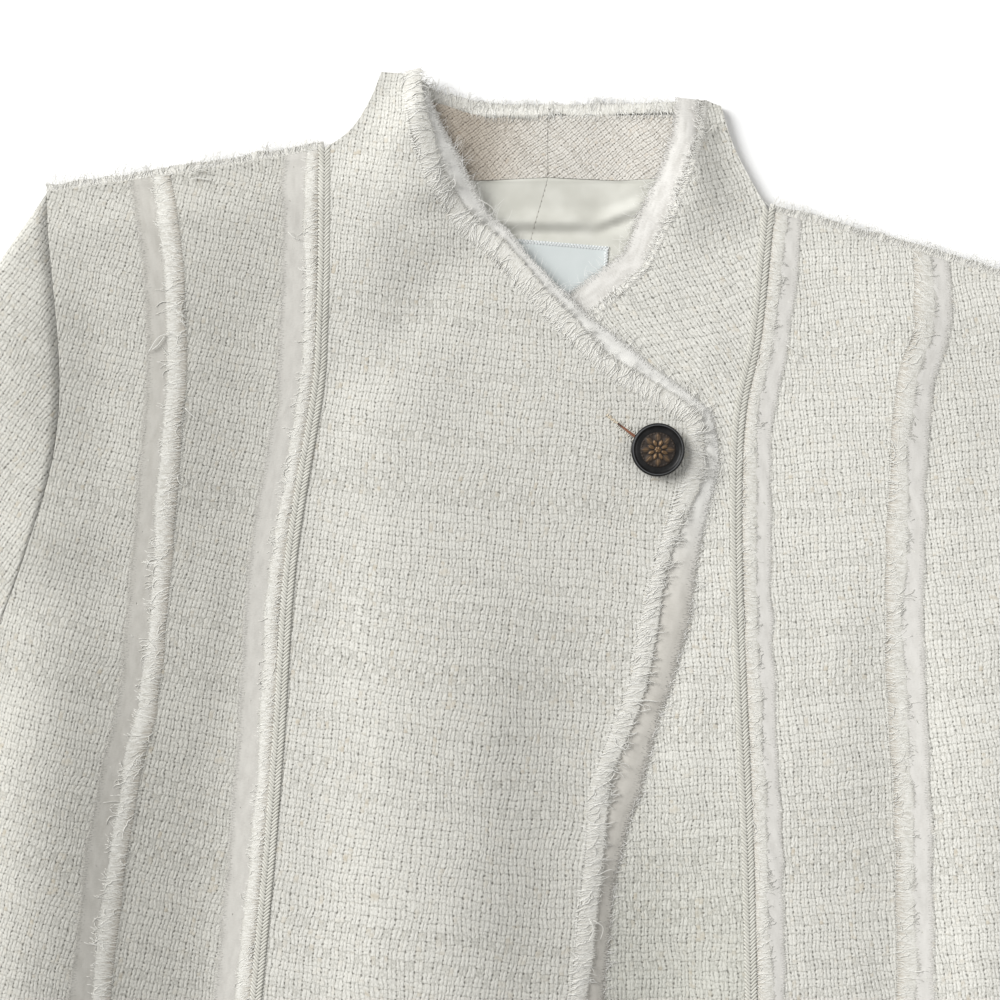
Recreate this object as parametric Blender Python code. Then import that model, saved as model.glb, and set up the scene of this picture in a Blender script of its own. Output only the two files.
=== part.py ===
"""Cropped tweed jacket with a grown-on funnel collar, buttoned and laid flat on its back.

The garment lies on the plane z = 0 with its collar towards +Y. "right" and "left" are the
wearer's: the right front lies on top of the left one. Every sheet of cloth is a thin wall
over one relief, a height of the laid garment at each point of the plane. Lengths are in
millimetres until the meshes are made, and the tables are measured from the middle of the
back collar's top edge.
"""
from collections import namedtuple
import math

import bmesh
import bpy
import numpy as np

MM = 0.001

# walls of the cloths
TWEED = 2.0
FACING = 1.6
SATIN = 1.0
CHIFFON = 0.8
LABEL = 0.8
FRINGE = 1.0
BRAID = 2.2

# clearances
SEAM = 0.3            # between pieces sewn edge to edge
LAY = 0.3             # between flat pieces that lie on each other
LIFT = 0.5            # under trims laid on the folded panels
LAP = 1.0             # between the right front and the left front under it

# how high the laid garment stands
EDGE_HEIGHT = TWEED + LAY + TWEED + 0.1    # two layers at the outline
BODY_HEIGHT = 8.0
RIM = 22.0                                 # the panels round down over this width
HEM_RIM = 70.0                             # and settle onto the back over this one at the hem
SLEEVE_HEIGHT = 7.4

# trims
BRAID_WIDTH = 5.0
FRINGE_BACKING = 1.8
FRINGE_LENGTH = 6.5
EDGE_FRINGE_LENGTH = 8.5
INNER_CHIFFON_WIDTH = 17.0
OUTER_CHIFFON_WIDTH = 16.0
NECK_CHIFFON_WIDTH = 14.0

# rows of the panels' grids
CURVE_STEPS = 12
FRONT_COLUMNS = 9
COLLAR_ROWS = 3
NECKLINE_ROWS = 9
FRONT_EDGE_ROWS = 19
BODY_ROWS = NECKLINE_ROWS + FRONT_EDGE_ROWS
ARMHOLE_ROWS = 14

# the body's corners: shoulder tip, underarm and hem on each side
Corners = namedtuple("Corners", "shoulder_tip armhole_bow underarm hem")
RIGHT = Corners((-211, -33), (-206, -140), (-245, -257), (-268, -487))
LEFT = Corners((208, -74), (204, -175), (226, -282), (216, -512))

# seams of the body from shoulder to hem, and the grown-on collar's folds at the sides
INNER_SEAM_RIGHT = [(-94, -15), (-94, -56), (-95, -92), (-97, -118), (-108, -188), (-113, -261),
                    (-119, -334), (-135, -494)]
INNER_SEAM_LEFT = [(93, -41), (91, -58), (87, -95), (80, -132), (79, -190), (81, -251),
                   (84, -324), (88, -505)]
OUTER_SEAM_RIGHT = [(-159, -26), (-153, -65), (-152, -116), (-159, -205), (-164, -251),
                    (-171, -282), (-180, -344), (-195, -490)]
OUTER_SEAM_LEFT = [(154, -58), (153, -90), (145, -121), (141, -209), (144, -282), (146, -345),
                   (148, -508)]
COLLAR_FOLD_RIGHT = [(-70, 17), (-75, 5), (-83, -7), (-94, -15)]
COLLAR_FOLD_LEFT = [(73, 3), (78, -13), (85, -27), (93, -41)]

# raw edges of the fronts: collar, neckline down to the point, then the front edge to the hem
FrontEdge = namedtuple("FrontEdge", "collar neckline front")
EDGE_RIGHT = FrontEdge(
    collar=[(-61, 16), (-59, 1), (-57, -11), (-52, -26)],
    neckline=[(-52, -26), (-45, -38), (-36, -51), (-22, -63), (0, -87), (23, -109), (47, -124),
              (59, -131)],
    front=[(59, -131), (59, -146), (53, -163), (45, -188), (38, -219), (34, -240), (19, -281),
           (15, -320), (12, -344), (-2, -498)])
EDGE_LEFT = FrontEdge(
    collar=[(67, 5), (65, -12), (61, -24), (57, -35)],
    neckline=[(57, -35), (51, -48), (42, -66), (34, -74), (22, -84), (0, -98), (-30, -115),
              (-61, -131)],
    front=[(-61, -131), (-62, -155), (-62, -205), (-54, -260), (-49, -343), (-50, -501)])

# soft ridges (height above 0) and troughs of the laid fronts: from, to, half width, height
Fold = namedtuple("Fold", "x0 y0 x1 y1 half_width height")
BODY_FOLDS = [
    Fold(-50, -170, -62, -485, 46, 6.5),      # long ridge down the right front
    Fold(-30, -35, -28, -165, 30, -1.6),      # trough from the neck's base
    Fold(22, -190, 4, -400, 34, -1.2),        # hollow beside the front edge
    Fold(-158, -110, -190, -470, 20, -3.0),   # valley along the outer seam
    Fold(-208, -190, -228, -450, 24, 8.5),    # side panel rolled up beside the valley
    Fold(-126, -70, -138, -380, 26, 2.0),     # right side front
    Fold(-62, 16, -46, -46, 15, 5.0),         # collar standing up, right
    Fold(68, 6, 52, -56, 15, 5.0),            # collar standing up, left
    Fold(84, -150, 84, -400, 24, 1.6),        # along the left inner seam
    Fold(118, -100, 114, -330, 22, 2.0),      # left side front
    Fold(146, -150, 148, -420, 12, -1.6),     # beside the left outer seam
    Fold(186, -180, 184, -470, 30, 3.0),      # left side panel
    Fold(48, -300, 36, -420, 20, -1.8),       # dip where the fronts part
]

# sleeves: from the shoulder tip outwards and down
SLEEVE_LENGTH = 575.0
CUFF_WIDTH = 132.0
SLEEVE_ANGLE = {"right": 34.0, "left": 28.0}     # from straight down
SLEEVE_SECTIONS = 12
SLEEVE_FOLDS = {
    "right": [Fold(-262, -190, -330, -330, 20, 3.0), Fold(-330, -300, -400, -300, 14, 2.2),
              Fold(-400, -400, -420, -560, 18, 2.4)],
    "left": [Fold(252, -190, 300, -340, 20, 3.0), Fold(290, -330, 350, -300, 14, 2.2),
             Fold(352, -420, 366, -590, 18, 2.4)],
}

SLEEVE_ACROSS = np.array([0.0, 0.03, 0.12, 0.25, 0.38, 0.5, 0.62, 0.75, 0.88, 0.97, 1.0])
SLEEVE_WELT = 1.3 * TWEED       # how wide the two layers are one at a sleeve's folded edge

# back neck: collar's top edge, the seam under it, and what shows inside
COLLAR_TOP = [COLLAR_FOLD_RIGHT[0], (-52, 1), (0, 0), (56, 2), COLLAR_FOLD_LEFT[0]]
NECK_SEAM = [COLLAR_FOLD_RIGHT[-1], (-60, -26), (0, -31), (60, -36), COLLAR_FOLD_LEFT[-1]]
COLLAR_FRINGE = [(-50, 1), (0, 0), (54, 2)]
FACING_HALF = 60.0
FACING_TOP = -1.0
LINING_GAP = 0.4                # between the facing's lower edge and the lining
FACING_LOW = [(0, -27.0), (30, -28.5), (60, -27.0)]       # distance from the middle, y
LINING_MIDDLE = [(0, -27.6), (-9, -62), (-14, -104)]      # centre seam, leaning right
LINING_SIDE = [(52, -27.6), (50, -62), (34, -104)]
LABEL_SIDES = [(-21, -54), (-21, -80)], [(26, -58), (24, -83)]
LINING_CREASES = [Fold(-24, -53, 22, -54, 4.5, 2.2), Fold(22, -54, 44, -45, 4.5, 2.0),
                  Fold(-40, -42, 10, -38, 6.0, 1.0)]

# width of the chiffon at rows of the right front's raw edge
EDGE_CHIFFON = [(0, 7), (2, 15), (3, 17), (5, 14), (7, 12), (9, 15), (10, 16), (11, 13), (12, 11.5),
                (13, 14.5), (15, 18.5), (16, 21.5), (18, 18), (20, 21.5), (22, 14.5), (31, 15)]
NECK_FRINGE_ROWS = COLLAR_ROWS + 4      # the left front's trims end under the right front

# button
BUTTON_CENTRE = (45.8, -142.0)
BUTTON_RADIUS = 11.2
BUTTON_THICKNESS = 3.4
SHANK_RADIUS = 2.4
SHANK_HEIGHT = 1.6
SEAT = 0.45                     # under the shank
DISH = 1.2                      # how deep the face lies within the rim
PETALS = 8
# share of the radius, height from the button's underside
BUTTON_PROFILE = [(0.62, 0.0), (0.9, 0.45), (1.0, 1.5), (1.0, 2.3), (0.95, BUTTON_THICKNESS - 0.2),
                  (0.88, BUTTON_THICKNESS), (0.8, BUTTON_THICKNESS - 0.3),
                  (0.76, BUTTON_THICKNESS - DISH)]
# share of the radius, height above the dish: edge, petals and the middle's knob
ROSETTE_PROFILE = [(0.66, 0.0), (0.64, 0.35), (0.48, 0.8), (0.28, 0.55), (0.16, 0.95)]
ROSETTE_TOP = 1.05


def smooth(t):
    """Smooth step from 0 to 1."""
    t = np.clip(t, 0.0, 1.0)
    return t * t * (3.0 - 2.0 * t)


def uneven(number):
    """Repeatable value between 0 and 1 for a strand's number."""
    value = math.sin(number * 12.9898 + 4.137) * 43758.5453
    return value - math.floor(value)


def path(points, count):
    """Points at equal steps along a smooth curve through the given ones."""
    given = np.array(points, float)
    knots = np.vstack([2 * given[0] - given[1], given, 2 * given[-1] - given[-2]])
    dense = []
    for p0, p1, p2, p3 in zip(knots, knots[1:], knots[2:], knots[3:]):
        for t in np.linspace(0.0, 1.0, CURVE_STEPS, endpoint=False):
            dense.append(0.5 * (2 * p1 + (p2 - p0) * t + (2 * p0 - 5 * p1 + 4 * p2 - p3) * t * t
                                + (3 * p1 - p0 - 3 * p2 + p3) * t ** 3))
    dense = np.array(dense + [knots[-2]])
    run = np.concatenate([[0.0], np.cumsum(np.linalg.norm(np.diff(dense, axis=0), axis=1))])
    steps = np.linspace(0.0, run[-1], count + 1)
    return np.column_stack([np.interp(steps, run, dense[:, 0]), np.interp(steps, run, dense[:, 1])])


def joined(*parts):
    """One run of points from parts that share their end points."""
    return np.vstack([parts[0]] + [part[1:] for part in parts[1:]])


def distance(points, start, end):
    """Distance of points from a segment, and how far along it the nearest place is (0 to 1)."""
    start = np.array(start, float)
    along = np.array(end, float) - start
    t = np.clip(((points - start) @ along) / (along @ along), 0.0, 1.0)
    return np.linalg.norm(points - (start + t[..., None] * along), axis=-1), t


def armhole(corners, count):
    """The armhole from shoulder tip to underarm."""
    return path([corners.shoulder_tip, corners.armhole_bow, corners.underarm], count)


def side_edge(corners):
    """A side panel's outer edge: armhole, then side seam."""
    seam = path([corners.underarm, corners.hem], BODY_ROWS - ARMHOLE_ROWS)
    return joined(armhole(corners, ARMHOLE_ROWS), seam)


def closed_outline():
    """Where the fronts come down to the back: runs of outline, and over what width."""
    right_shoulder = [COLLAR_FOLD_RIGHT[-1], OUTER_SEAM_RIGHT[0], RIGHT.shoulder_tip]
    left_shoulder = [COLLAR_FOLD_LEFT[-1], OUTER_SEAM_LEFT[0], LEFT.shoulder_tip]
    return [(COLLAR_FOLD_RIGHT + right_shoulder[1:], RIM),
            (COLLAR_FOLD_LEFT + left_shoulder[1:], RIM),
            ([RIGHT.underarm, RIGHT.hem], RIM), ([LEFT.underarm, LEFT.hem], RIM),
            ([RIGHT.hem, INNER_SEAM_RIGHT[-1], INNER_SEAM_LEFT[-1], LEFT.hem], HEM_RIM)]


def folded(points, folds):
    """Summed height of the folds at the points."""
    total = np.zeros(points.shape[:-1])
    for fold in folds:
        away, t = distance(points, (fold.x0, fold.y0), (fold.x1, fold.y1))
        ends = 0.35 + 0.65 * smooth(np.minimum(t, 1.0 - t) / 0.25)
        total += fold.height * ends * np.exp(-(away / fold.half_width) ** 2)
    return total


def lower_height(points):
    """Height of the laid garment's upper face, without the right front's overlap."""
    points = np.asarray(points, float)
    inside = np.full(points.shape[:-1], np.inf)
    for run, width in closed_outline():
        for start, end in zip(run, run[1:]):
            inside = np.minimum(inside, distance(points, start, end)[0] / width)
    rim = smooth(inside)
    return EDGE_HEIGHT + rim * (BODY_HEIGHT - EDGE_HEIGHT + folded(points, BODY_FOLDS))


def upper_height(points):
    """Height of the right front's upper face, raised where it laps over the left front."""
    points = np.asarray(points, float)
    return lower_height(points) + (TWEED + LAP) * smooth((points[..., 0] + 100.0) / 35.0)


def lining_height(points):
    """Height of the satin's upper face with its soft crease across the neck."""
    return TWEED + LAY + SATIN + folded(np.asarray(points, float), LINING_CREASES)


def on(height, flat):
    """Points of the plane lifted to a height given by a function."""
    return np.concatenate([flat, height(flat)[..., None]], axis=-1)


def ruled(start_edge, end_edge, stops):
    """Grid of points between two edges; stops give each row's shares of the way across."""
    rows = []
    for number, (start, end) in enumerate(zip(start_edge, end_edge)):
        share = np.array(stops(number) if callable(stops) else stops)[:, None]
        rows.append(start + (end - start) * share)
    return np.array(rows)


def principled(name, colour, roughness, metallic=0.0):
    """A plain material for a sub-part."""
    material = bpy.data.materials.new(name)
    material.use_nodes = True
    shader = material.node_tree.nodes["Principled BSDF"]
    shader.inputs["Base Color"].default_value = (*colour, 1.0)
    shader.inputs["Roughness"].default_value = roughness
    shader.inputs["Metallic"].default_value = metallic
    return material


def solid(name, points, faces, material):
    """One named object from points in millimetres and faces of point numbers."""
    mesh = bpy.data.meshes.new(name)
    mesh.from_pydata([tuple(float(c) * MM for c in point) for point in points], [], faces)
    shape = bmesh.new()
    shape.from_mesh(mesh)
    bmesh.ops.recalc_face_normals(shape, faces=shape.faces)
    shape.to_mesh(mesh)
    shape.free()
    mesh.materials.append(material)
    mesh.shade_smooth()
    mesh.set_sharp_from_angle(angle=math.radians(40))
    made = bpy.data.objects.new(name, mesh)
    bpy.context.scene.collection.objects.link(made)
    return made


def wall(name, top, thickness, material):
    """A wall of cloth under a grid of points, its cells split along one diagonal."""
    rows, columns = top.shape[:2]
    below = top - (0.0, 0.0, thickness)
    points = np.vstack([top.reshape(-1, 3), below.reshape(-1, 3)])
    drop = rows * columns

    def at(row, column):
        return row * columns + column

    faces = []
    for row in range(rows - 1):
        for column in range(columns - 1):
            a, b = at(row, column), at(row, column + 1)
            c, d = at(row + 1, column + 1), at(row + 1, column)
            for triangle in ((a, b, c), (a, c, d)):
                faces.append(triangle)
                faces.append(tuple(index + drop for index in reversed(triangle)))
    rim = [at(0, column) for column in range(columns)]
    rim += [at(row, columns - 1) for row in range(1, rows)]
    rim += [at(rows - 1, column) for column in range(columns - 2, -1, -1)]
    rim += [at(row, 0) for row in range(rows - 2, 0, -1)]
    for start, end in zip(rim, rim[1:] + rim[:1]):
        faces.append((start, start + drop, end + drop, end))
    return solid(name, points, faces, material)


def plate(name, outline, low, high, material):
    """A flat piece with an outline, between two heights."""
    count = len(outline)
    points = [(x, y, high) for x, y in outline] + [(x, y, low) for x, y in outline]
    faces = [tuple(range(count)), tuple(range(2 * count - 1, count - 1, -1))]
    for start in range(count):
        end = (start + 1) % count
        faces.append((start, start + count, end + count, end))
    made = solid(name, points, faces, material)
    shape = bmesh.new()
    shape.from_mesh(made.data)
    flat = [face for face in shape.faces if len(face.verts) > 4]
    bmesh.ops.triangulate(shape, faces=flat, ngon_method="EAR_CLIP")
    shape.to_mesh(made.data)
    shape.free()
    return made


def fringe(name, inner, outer, locks, share, length, lift, material):
    """A narrow backing strip with tapered locks of yarn growing from its outer edge.

    inner and outer are the strip's upper corners at each row, locks how many grow from a
    row, share the part of a row that is lock, length and lift how far the tips reach.
    """
    rows = len(inner) - 1
    stations = []
    for row in range(rows):
        for lock in range(locks):
            middle = row + (lock + 0.5) / locks
            stations += [middle - 0.5 * share / locks, middle + 0.5 * share / locks]

    def between(line, station):
        row = min(int(station), rows - 1)
        return line[row] + (line[row + 1] - line[row]) * (station - row)

    roots = np.array([between(outer, station) for station in stations])
    tips = []
    for number in range(0, len(roots), 2):
        middle = 0.5 * (roots[number] + roots[number + 1])
        away = middle - between(inner, 0.5 * (stations[number] + stations[number + 1]))
        away /= np.linalg.norm(away)
        along = roots[number + 1] - roots[number]
        along /= np.linalg.norm(along)
        reach = length * (0.8 + 0.35 * uneven(number))
        lean = reach * 0.5 * (uneven(number + 0.5) - 0.5)
        rise = lift * (0.5 + uneven(number + 0.25))
        tips.append(middle + away * reach + along * lean + np.array((0.0, 0.0, rise)))
    below = (0.0, 0.0, FRINGE)
    points = np.vstack([inner, inner - below, roots, roots - below, tips])
    inner_low = rows + 1
    root = 2 * (rows + 1)
    root_low = root + len(roots)
    tip = root_low + len(roots)

    faces = []
    row, place = 0, 0
    while row < rows or place < len(roots) - 1:
        if row == rows or (place < len(roots) - 1 and stations[place + 1] < row + 1):
            faces.append((row, root + place, root + place + 1))
            faces.append((inner_low + row, root_low + place + 1, root_low + place))
            place += 1
        else:
            faces.append((row, root + place, row + 1))
            faces.append((inner_low + row, inner_low + row + 1, root_low + place))
            row += 1
    for row in range(rows):
        faces.append((row, row + 1, inner_low + row + 1, inner_low + row))
    for row, place in ((0, 0), (rows, len(roots) - 1)):
        faces.append((row, inner_low + row, root_low + place, root + place))
    for place in range(len(roots) - 1):
        corners = [root + place, root + place + 1, root_low + place + 1, root_low + place]
        if place % 2:
            faces.append(tuple(corners))
            continue
        for start, end in zip(corners, corners[1:] + corners[:1]):
            faces.append((start, end, tip + place // 2))
    return solid(name, points, faces, material)


def braid(name, left, middle, right, material):
    """A woven braid of two plaited ridges with a groove between them."""
    height = np.array((0.0, 0.0, 1.0))
    across = right - left
    profile = [left + LIFT * height,
               left + across * 0.05 + (LIFT + 0.6 * BRAID) * height,
               left + across * 0.26 + (LIFT + BRAID) * height,
               middle + (LIFT + 0.62 * BRAID) * height,
               left + across * 0.74 + (LIFT + BRAID) * height,
               left + across * 0.95 + (LIFT + 0.6 * BRAID) * height,
               right + LIFT * height,
               middle + LIFT * height]
    rows, sides = len(middle), len(profile)
    points = np.stack(profile, axis=1).reshape(-1, 3)
    faces = []
    for row in range(rows - 1):
        for side in range(sides):
            a = row * sides + side
            b = row * sides + (side + 1) % sides
            faces.append((a, b, b + sides))
            faces.append((a, b + sides, a + sides))
    for first in (0, (rows - 1) * sides):
        faces.append(tuple(range(first, first + sides)))
    return solid(name, points, faces, material)


def turned(name, centre, profile, material, sides=28):
    """A round piece turned about an upright axis from (radius, height) points, axis to axis."""
    x, y, z = centre
    points = [(x, y, z + profile[0][1])]
    for radius, height in profile[1:-1]:
        for side in range(sides):
            angle = 2 * math.pi * side / sides
            points.append((x + radius * math.cos(angle), y + radius * math.sin(angle), z + height))
    points.append((x, y, z + profile[-1][1]))
    faces = []
    for side in range(sides):
        after = (side + 1) % sides
        faces.append((0, 1 + side, 1 + after))
        for ring in range(len(profile) - 3):
            a = 1 + ring * sides
            faces.append((a + side, a + sides + side, a + sides + after, a + after))
        last = 1 + (len(profile) - 3) * sides
        faces.append((len(points) - 1, last + after, last + side))
    return solid(name, points, faces, material)


def sleeve(name, side, corners, material):
    """A flattened tube of tweed laid beside the body, open at the armhole and the cuff."""
    sign = -1.0 if side == "right" else 1.0
    angle = math.radians(SLEEVE_ANGLE[side])
    down = np.array((sign * math.sin(angle), -math.cos(angle)))
    inward = np.array((-sign * math.cos(angle), -math.sin(angle)))
    cuff_outer = np.array(corners.shoulder_tip, float) + down * SLEEVE_LENGTH
    cuff_inner = cuff_outer + inward * CUFF_WIDTH
    hang = armhole(corners, ARMHOLE_ROWS)
    hang = hang + np.array((sign * SEAM, 0.0))
    cuff = path([cuff_outer, cuff_inner], ARMHOLE_ROWS)
    steps = np.linspace(0.0, 1.0, ARMHOLE_ROWS + 1)
    edge_low = EDGE_HEIGHT / 2
    across = SLEEVE_ACROSS
    crown = 1.0 - np.abs(2.0 * across - 1.0) ** 5
    rings = []
    for section in range(SLEEVE_SECTIONS + 1):
        share = section / SLEEVE_SECTIONS
        line = hang * (1.0 - share) + cuff * share
        width = np.linalg.norm(line[-1] - line[0])
        inset = np.clip(across, SLEEVE_WELT / width, 1.0 - SLEEVE_WELT / width)
        shell = []
        for places, skin in ((across, 0.0), (inset, TWEED)):
            flat = np.column_stack([np.interp(places, steps, line[:, 0]),
                                    np.interp(places, steps, line[:, 1])])
            plain = EDGE_HEIGHT - 0.4 + crown * (SLEEVE_HEIGHT - EDGE_HEIGHT + 0.4)
            plain += crown * folded(flat, SLEEVE_FOLDS[side])
            body = lower_height(flat)
            blend = smooth(share * 4.0)
            high = body * (1.0 - blend) + plain * blend - skin
            high[[0, -1]] = edge_low
            high = np.maximum(high, edge_low + (0.1 if skin else 0.3) * (crown > 0))
            top = np.column_stack([flat, high])
            under = np.column_stack([flat[-2:0:-1], np.full(len(flat) - 2, skin)])
            shell.append(np.vstack([top, under]))
        rings.append(shell)
    count = len(rings[0][0])
    points, faces = [], []
    for outer, inner in rings:
        points += list(outer) + list(inner)
    stride = 2 * count
    for section in range(SLEEVE_SECTIONS):
        for number in range(count):
            after = (number + 1) % count
            for start, flip in ((section * stride, False), (section * stride + count, True)):
                a, b = start + number, start + after
                quad = (a, b, b + stride, a + stride)
                faces.append(tuple(reversed(quad)) if flip else quad)
    for start in (0, SLEEVE_SECTIONS * stride):
        for number in range(count):
            after = (number + 1) % count
            faces.append((start + number, start + after, start + count + after,
                          start + count + number))
    return solid(name, points, faces, material)


def moved(line, reach):
    """A run of points moved sideways by a seam's share."""
    return line + np.array((reach, 0.0))


def normals(edge, side):
    """Directions in the plane, square to an edge and away from its cloth."""
    along = np.gradient(edge, axis=0)
    along /= np.linalg.norm(along, axis=1)[:, None]
    return side * np.column_stack([-along[:, 1], along[:, 0]])


def along_by(start, end, reach):
    """Points at a distance along the straight lines from start to end."""
    run = end - start
    return start + run * (reach / np.linalg.norm(run[..., :2], axis=-1))[..., None]


def up(points, height):
    """Points raised by a height."""
    return points + np.array((0.0, 0.0, height))


def body_side(side, corners, inner_seam, outer_seam, materials):
    """The two side panels of one front, with the trims over their seams."""
    sign = -1.0 if side == "right" else 1.0
    half = 0.5 * SEAM * sign
    inner = path(inner_seam, BODY_ROWS)
    outer = path(outer_seam, BODY_ROWS)
    edge = side_edge(corners)

    def front_stops(row):
        width = np.linalg.norm(outer[row] - inner[row])
        first = INNER_CHIFFON_WIDTH / width
        return [0.0, first, first + 0.36 * (1 - first), first + 0.7 * (1 - first), 1.0]

    def panel_stops(row):
        width = np.linalg.norm(edge[row] - outer[row])
        first = OUTER_CHIFFON_WIDTH / width
        return [0.0, first, first + 0.5 * (1 - first), 1.0]

    front = on(lower_height, ruled(moved(inner, half), moved(outer, -half), front_stops))
    panel = on(lower_height, ruled(moved(outer, half), edge, panel_stops))
    wall(f"side_front_{side}", front, TWEED, materials["tweed"])
    wall(f"side_panel_{side}", panel, TWEED, materials["tweed"])

    half_braid = 0.5 * BRAID_WIDTH
    start = half_braid + LAY
    trims = ((f"inner_{side}", front, start, INNER_CHIFFON_WIDTH - SEAM),
             (f"outer_{side}", panel, SEAM, OUTER_CHIFFON_WIDTH - SEAM))
    for place, cloth, first, last in trims:
        near = along_by(cloth[:, 0], cloth[:, 1], first)
        far = along_by(cloth[:, 0], cloth[:, 1], last)
        strip = up(np.stack([near, far], axis=1), LIFT + CHIFFON)
        wall(f"chiffon_{place}", strip, CHIFFON, materials["chiffon"])
        near = along_by(cloth[:, 0], cloth[:, 1], first + 0.1)
        far = along_by(cloth[:, 0], cloth[:, 1], first + 0.1 + FRINGE_BACKING)
        rise = LIFT + CHIFFON + 0.4 + FRINGE
        fringe(f"fringe_{place}", up(near, rise), up(far, rise), 1, 0.42, FRINGE_LENGTH, 0.5,
               materials["yarn"])
    return front


def centre_front(side, edge, collar_fold, inner_seam, height, materials):
    """A centre front cut in one with its half of the funnel collar."""
    sign = -1.0 if side == "right" else 1.0
    seam = joined(path(collar_fold, COLLAR_ROWS), path(inner_seam, BODY_ROWS))
    raw = joined(path(edge.collar, COLLAR_ROWS), path(edge.neckline, NECKLINE_ROWS),
                 path(edge.front, FRONT_EDGE_ROWS))
    cloth = on(height, ruled(moved(seam, -0.5 * SEAM * sign), raw,
                             np.linspace(0, 1, FRONT_COLUMNS)))
    wall(f"front_{side}", cloth, TWEED, materials["tweed"])
    return cloth, raw


def edge_trims(side, raw, height, widths, last_row, materials):
    """The chiffon and the raw fringe along a front's edge, down to a row."""
    away = normals(raw, 1.0 if side == "right" else -1.0)[:last_row + 1]
    raw = raw[:last_row + 1]

    def beside(reach):
        return raw + away * np.asarray(reach).reshape(-1, 1)

    strip = np.stack([beside(SEAM), beside(widths * 0.5), beside(widths)], axis=1)
    name = "edge_right" if side == "right" else "neck_left"
    wall(f"chiffon_{name}", up(on(height, strip), -TWEED + CHIFFON), CHIFFON,
         materials["chiffon"])
    inner = up(on(height, beside(SEAM)), -0.05)
    outer = up(on(height, beside(SEAM + FRINGE_BACKING)), -0.05)
    # the backing stays level with the cloth's edge beside it
    outer[:, 2] = np.maximum(outer[:, 2], inner[:, 2] - 0.1)
    fringe(f"fringe_{name}", inner, outer, 2, 0.6, EDGE_FRINGE_LENGTH - FRINGE_BACKING, 0.6,
           materials["yarn"])


def seam_braid(side, centre, side_front, materials):
    """The braid that covers the seam between a centre front and its side front."""
    middle = 0.5 * (centre[COLLAR_ROWS:, 0] + side_front[:, 0])
    reach = 0.5 * BRAID_WIDTH - 0.5 * SEAM
    on_centre = along_by(centre[COLLAR_ROWS:, 0], centre[COLLAR_ROWS:, 1], reach)
    on_side = along_by(side_front[:, 0], side_front[:, 1], reach)
    braid(f"braid_{side}", on_side, middle, on_centre, materials["braid"])


def back_pieces(materials):
    """The back, the back of the funnel collar and what shows inside the neck."""
    neck = path(NECK_SEAM, CURVE_STEPS)
    below_neck = neck - np.array((0.0, SEAM))
    right_side, left_side = side_edge(RIGHT), side_edge(LEFT)
    outline = [*below_neck, OUTER_SEAM_LEFT[0], *left_side, INNER_SEAM_LEFT[-1],
               INNER_SEAM_RIGHT[-1], *right_side[::-1], OUTER_SEAM_RIGHT[0]]
    plate("back", outline, 0.0, TWEED, materials["tweed"])
    top = path(COLLAR_TOP, CURVE_STEPS)
    folds = path(COLLAR_FOLD_RIGHT, COLLAR_ROWS)[1:-1], path(COLLAR_FOLD_LEFT, COLLAR_ROWS)[1:-1]
    outline = [*neck[::-1], *folds[0][::-1], *top, *folds[1]]
    plate("collar_back", outline, 0.0, TWEED, materials["tweed"])

    low = TWEED + LAY
    for side, sign in (("right", -1.0), ("left", 1.0)):
        half = 0.5 * SEAM * sign
        upper = path([(half, FACING_TOP), (sign * FACING_HALF, FACING_TOP)], 5)
        lower = path([(half, FACING_LOW[0][1]), *((sign * x, y) for x, y in FACING_LOW[1:])], 5)
        plate(f"neck_facing_{side}", [*upper, *lower[::-1]], low, low + FACING,
              materials["facing"])
        start = moved(path(LINING_MIDDLE, 14), half)
        end = path([(sign * x, y) for x, y in LINING_SIDE], 14)
        grid = ruled(start, end, np.linspace(0, 1, 5))
        grid[0, :, 1] = np.interp(sign * grid[0, :, 0], *zip(*FACING_LOW)) - LINING_GAP
        wall(f"lining_{side}", on(lining_height, grid), SATIN, materials["satin"])
    left_edge, right_edge = (path(side, 6) for side in LABEL_SIDES)
    tag = on(lining_height, ruled(left_edge, right_edge, np.linspace(0, 1, 5)))
    wall("label", up(tag, LABEL + 0.45), LABEL, materials["label"])

    root = path(COLLAR_FRINGE, 7)
    across = normals(root, 1.0)
    strip = [np.column_stack([root + across * reach, np.full(len(root), 0.8 + FRINGE)])
             for reach in (SEAM + 0.3, SEAM + 0.3 + FRINGE_BACKING)]
    fringe("fringe_collar_back", *strip, 2, 0.6, FRINGE_LENGTH, 0.8, materials["yarn"])


def shoulder_fringe(side, corners, inner_seam, outer_seam, materials):
    """The raw seam allowance that stands along a shoulder seam."""
    root = joined(path([inner_seam[0], outer_seam[0]], 4), path([outer_seam[0], corners[0]], 3))
    across = normals(root, 1.0 if side == "left" else -1.0)
    strip = [np.column_stack([root + across * reach, np.full(len(root), 1.6 + FRINGE)])
             for reach in (SEAM, SEAM + FRINGE_BACKING)]
    fringe(f"fringe_shoulder_{side}", *strip, 1, 0.42, FRINGE_LENGTH * 0.7, 1.2,
           materials["yarn"])


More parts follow.
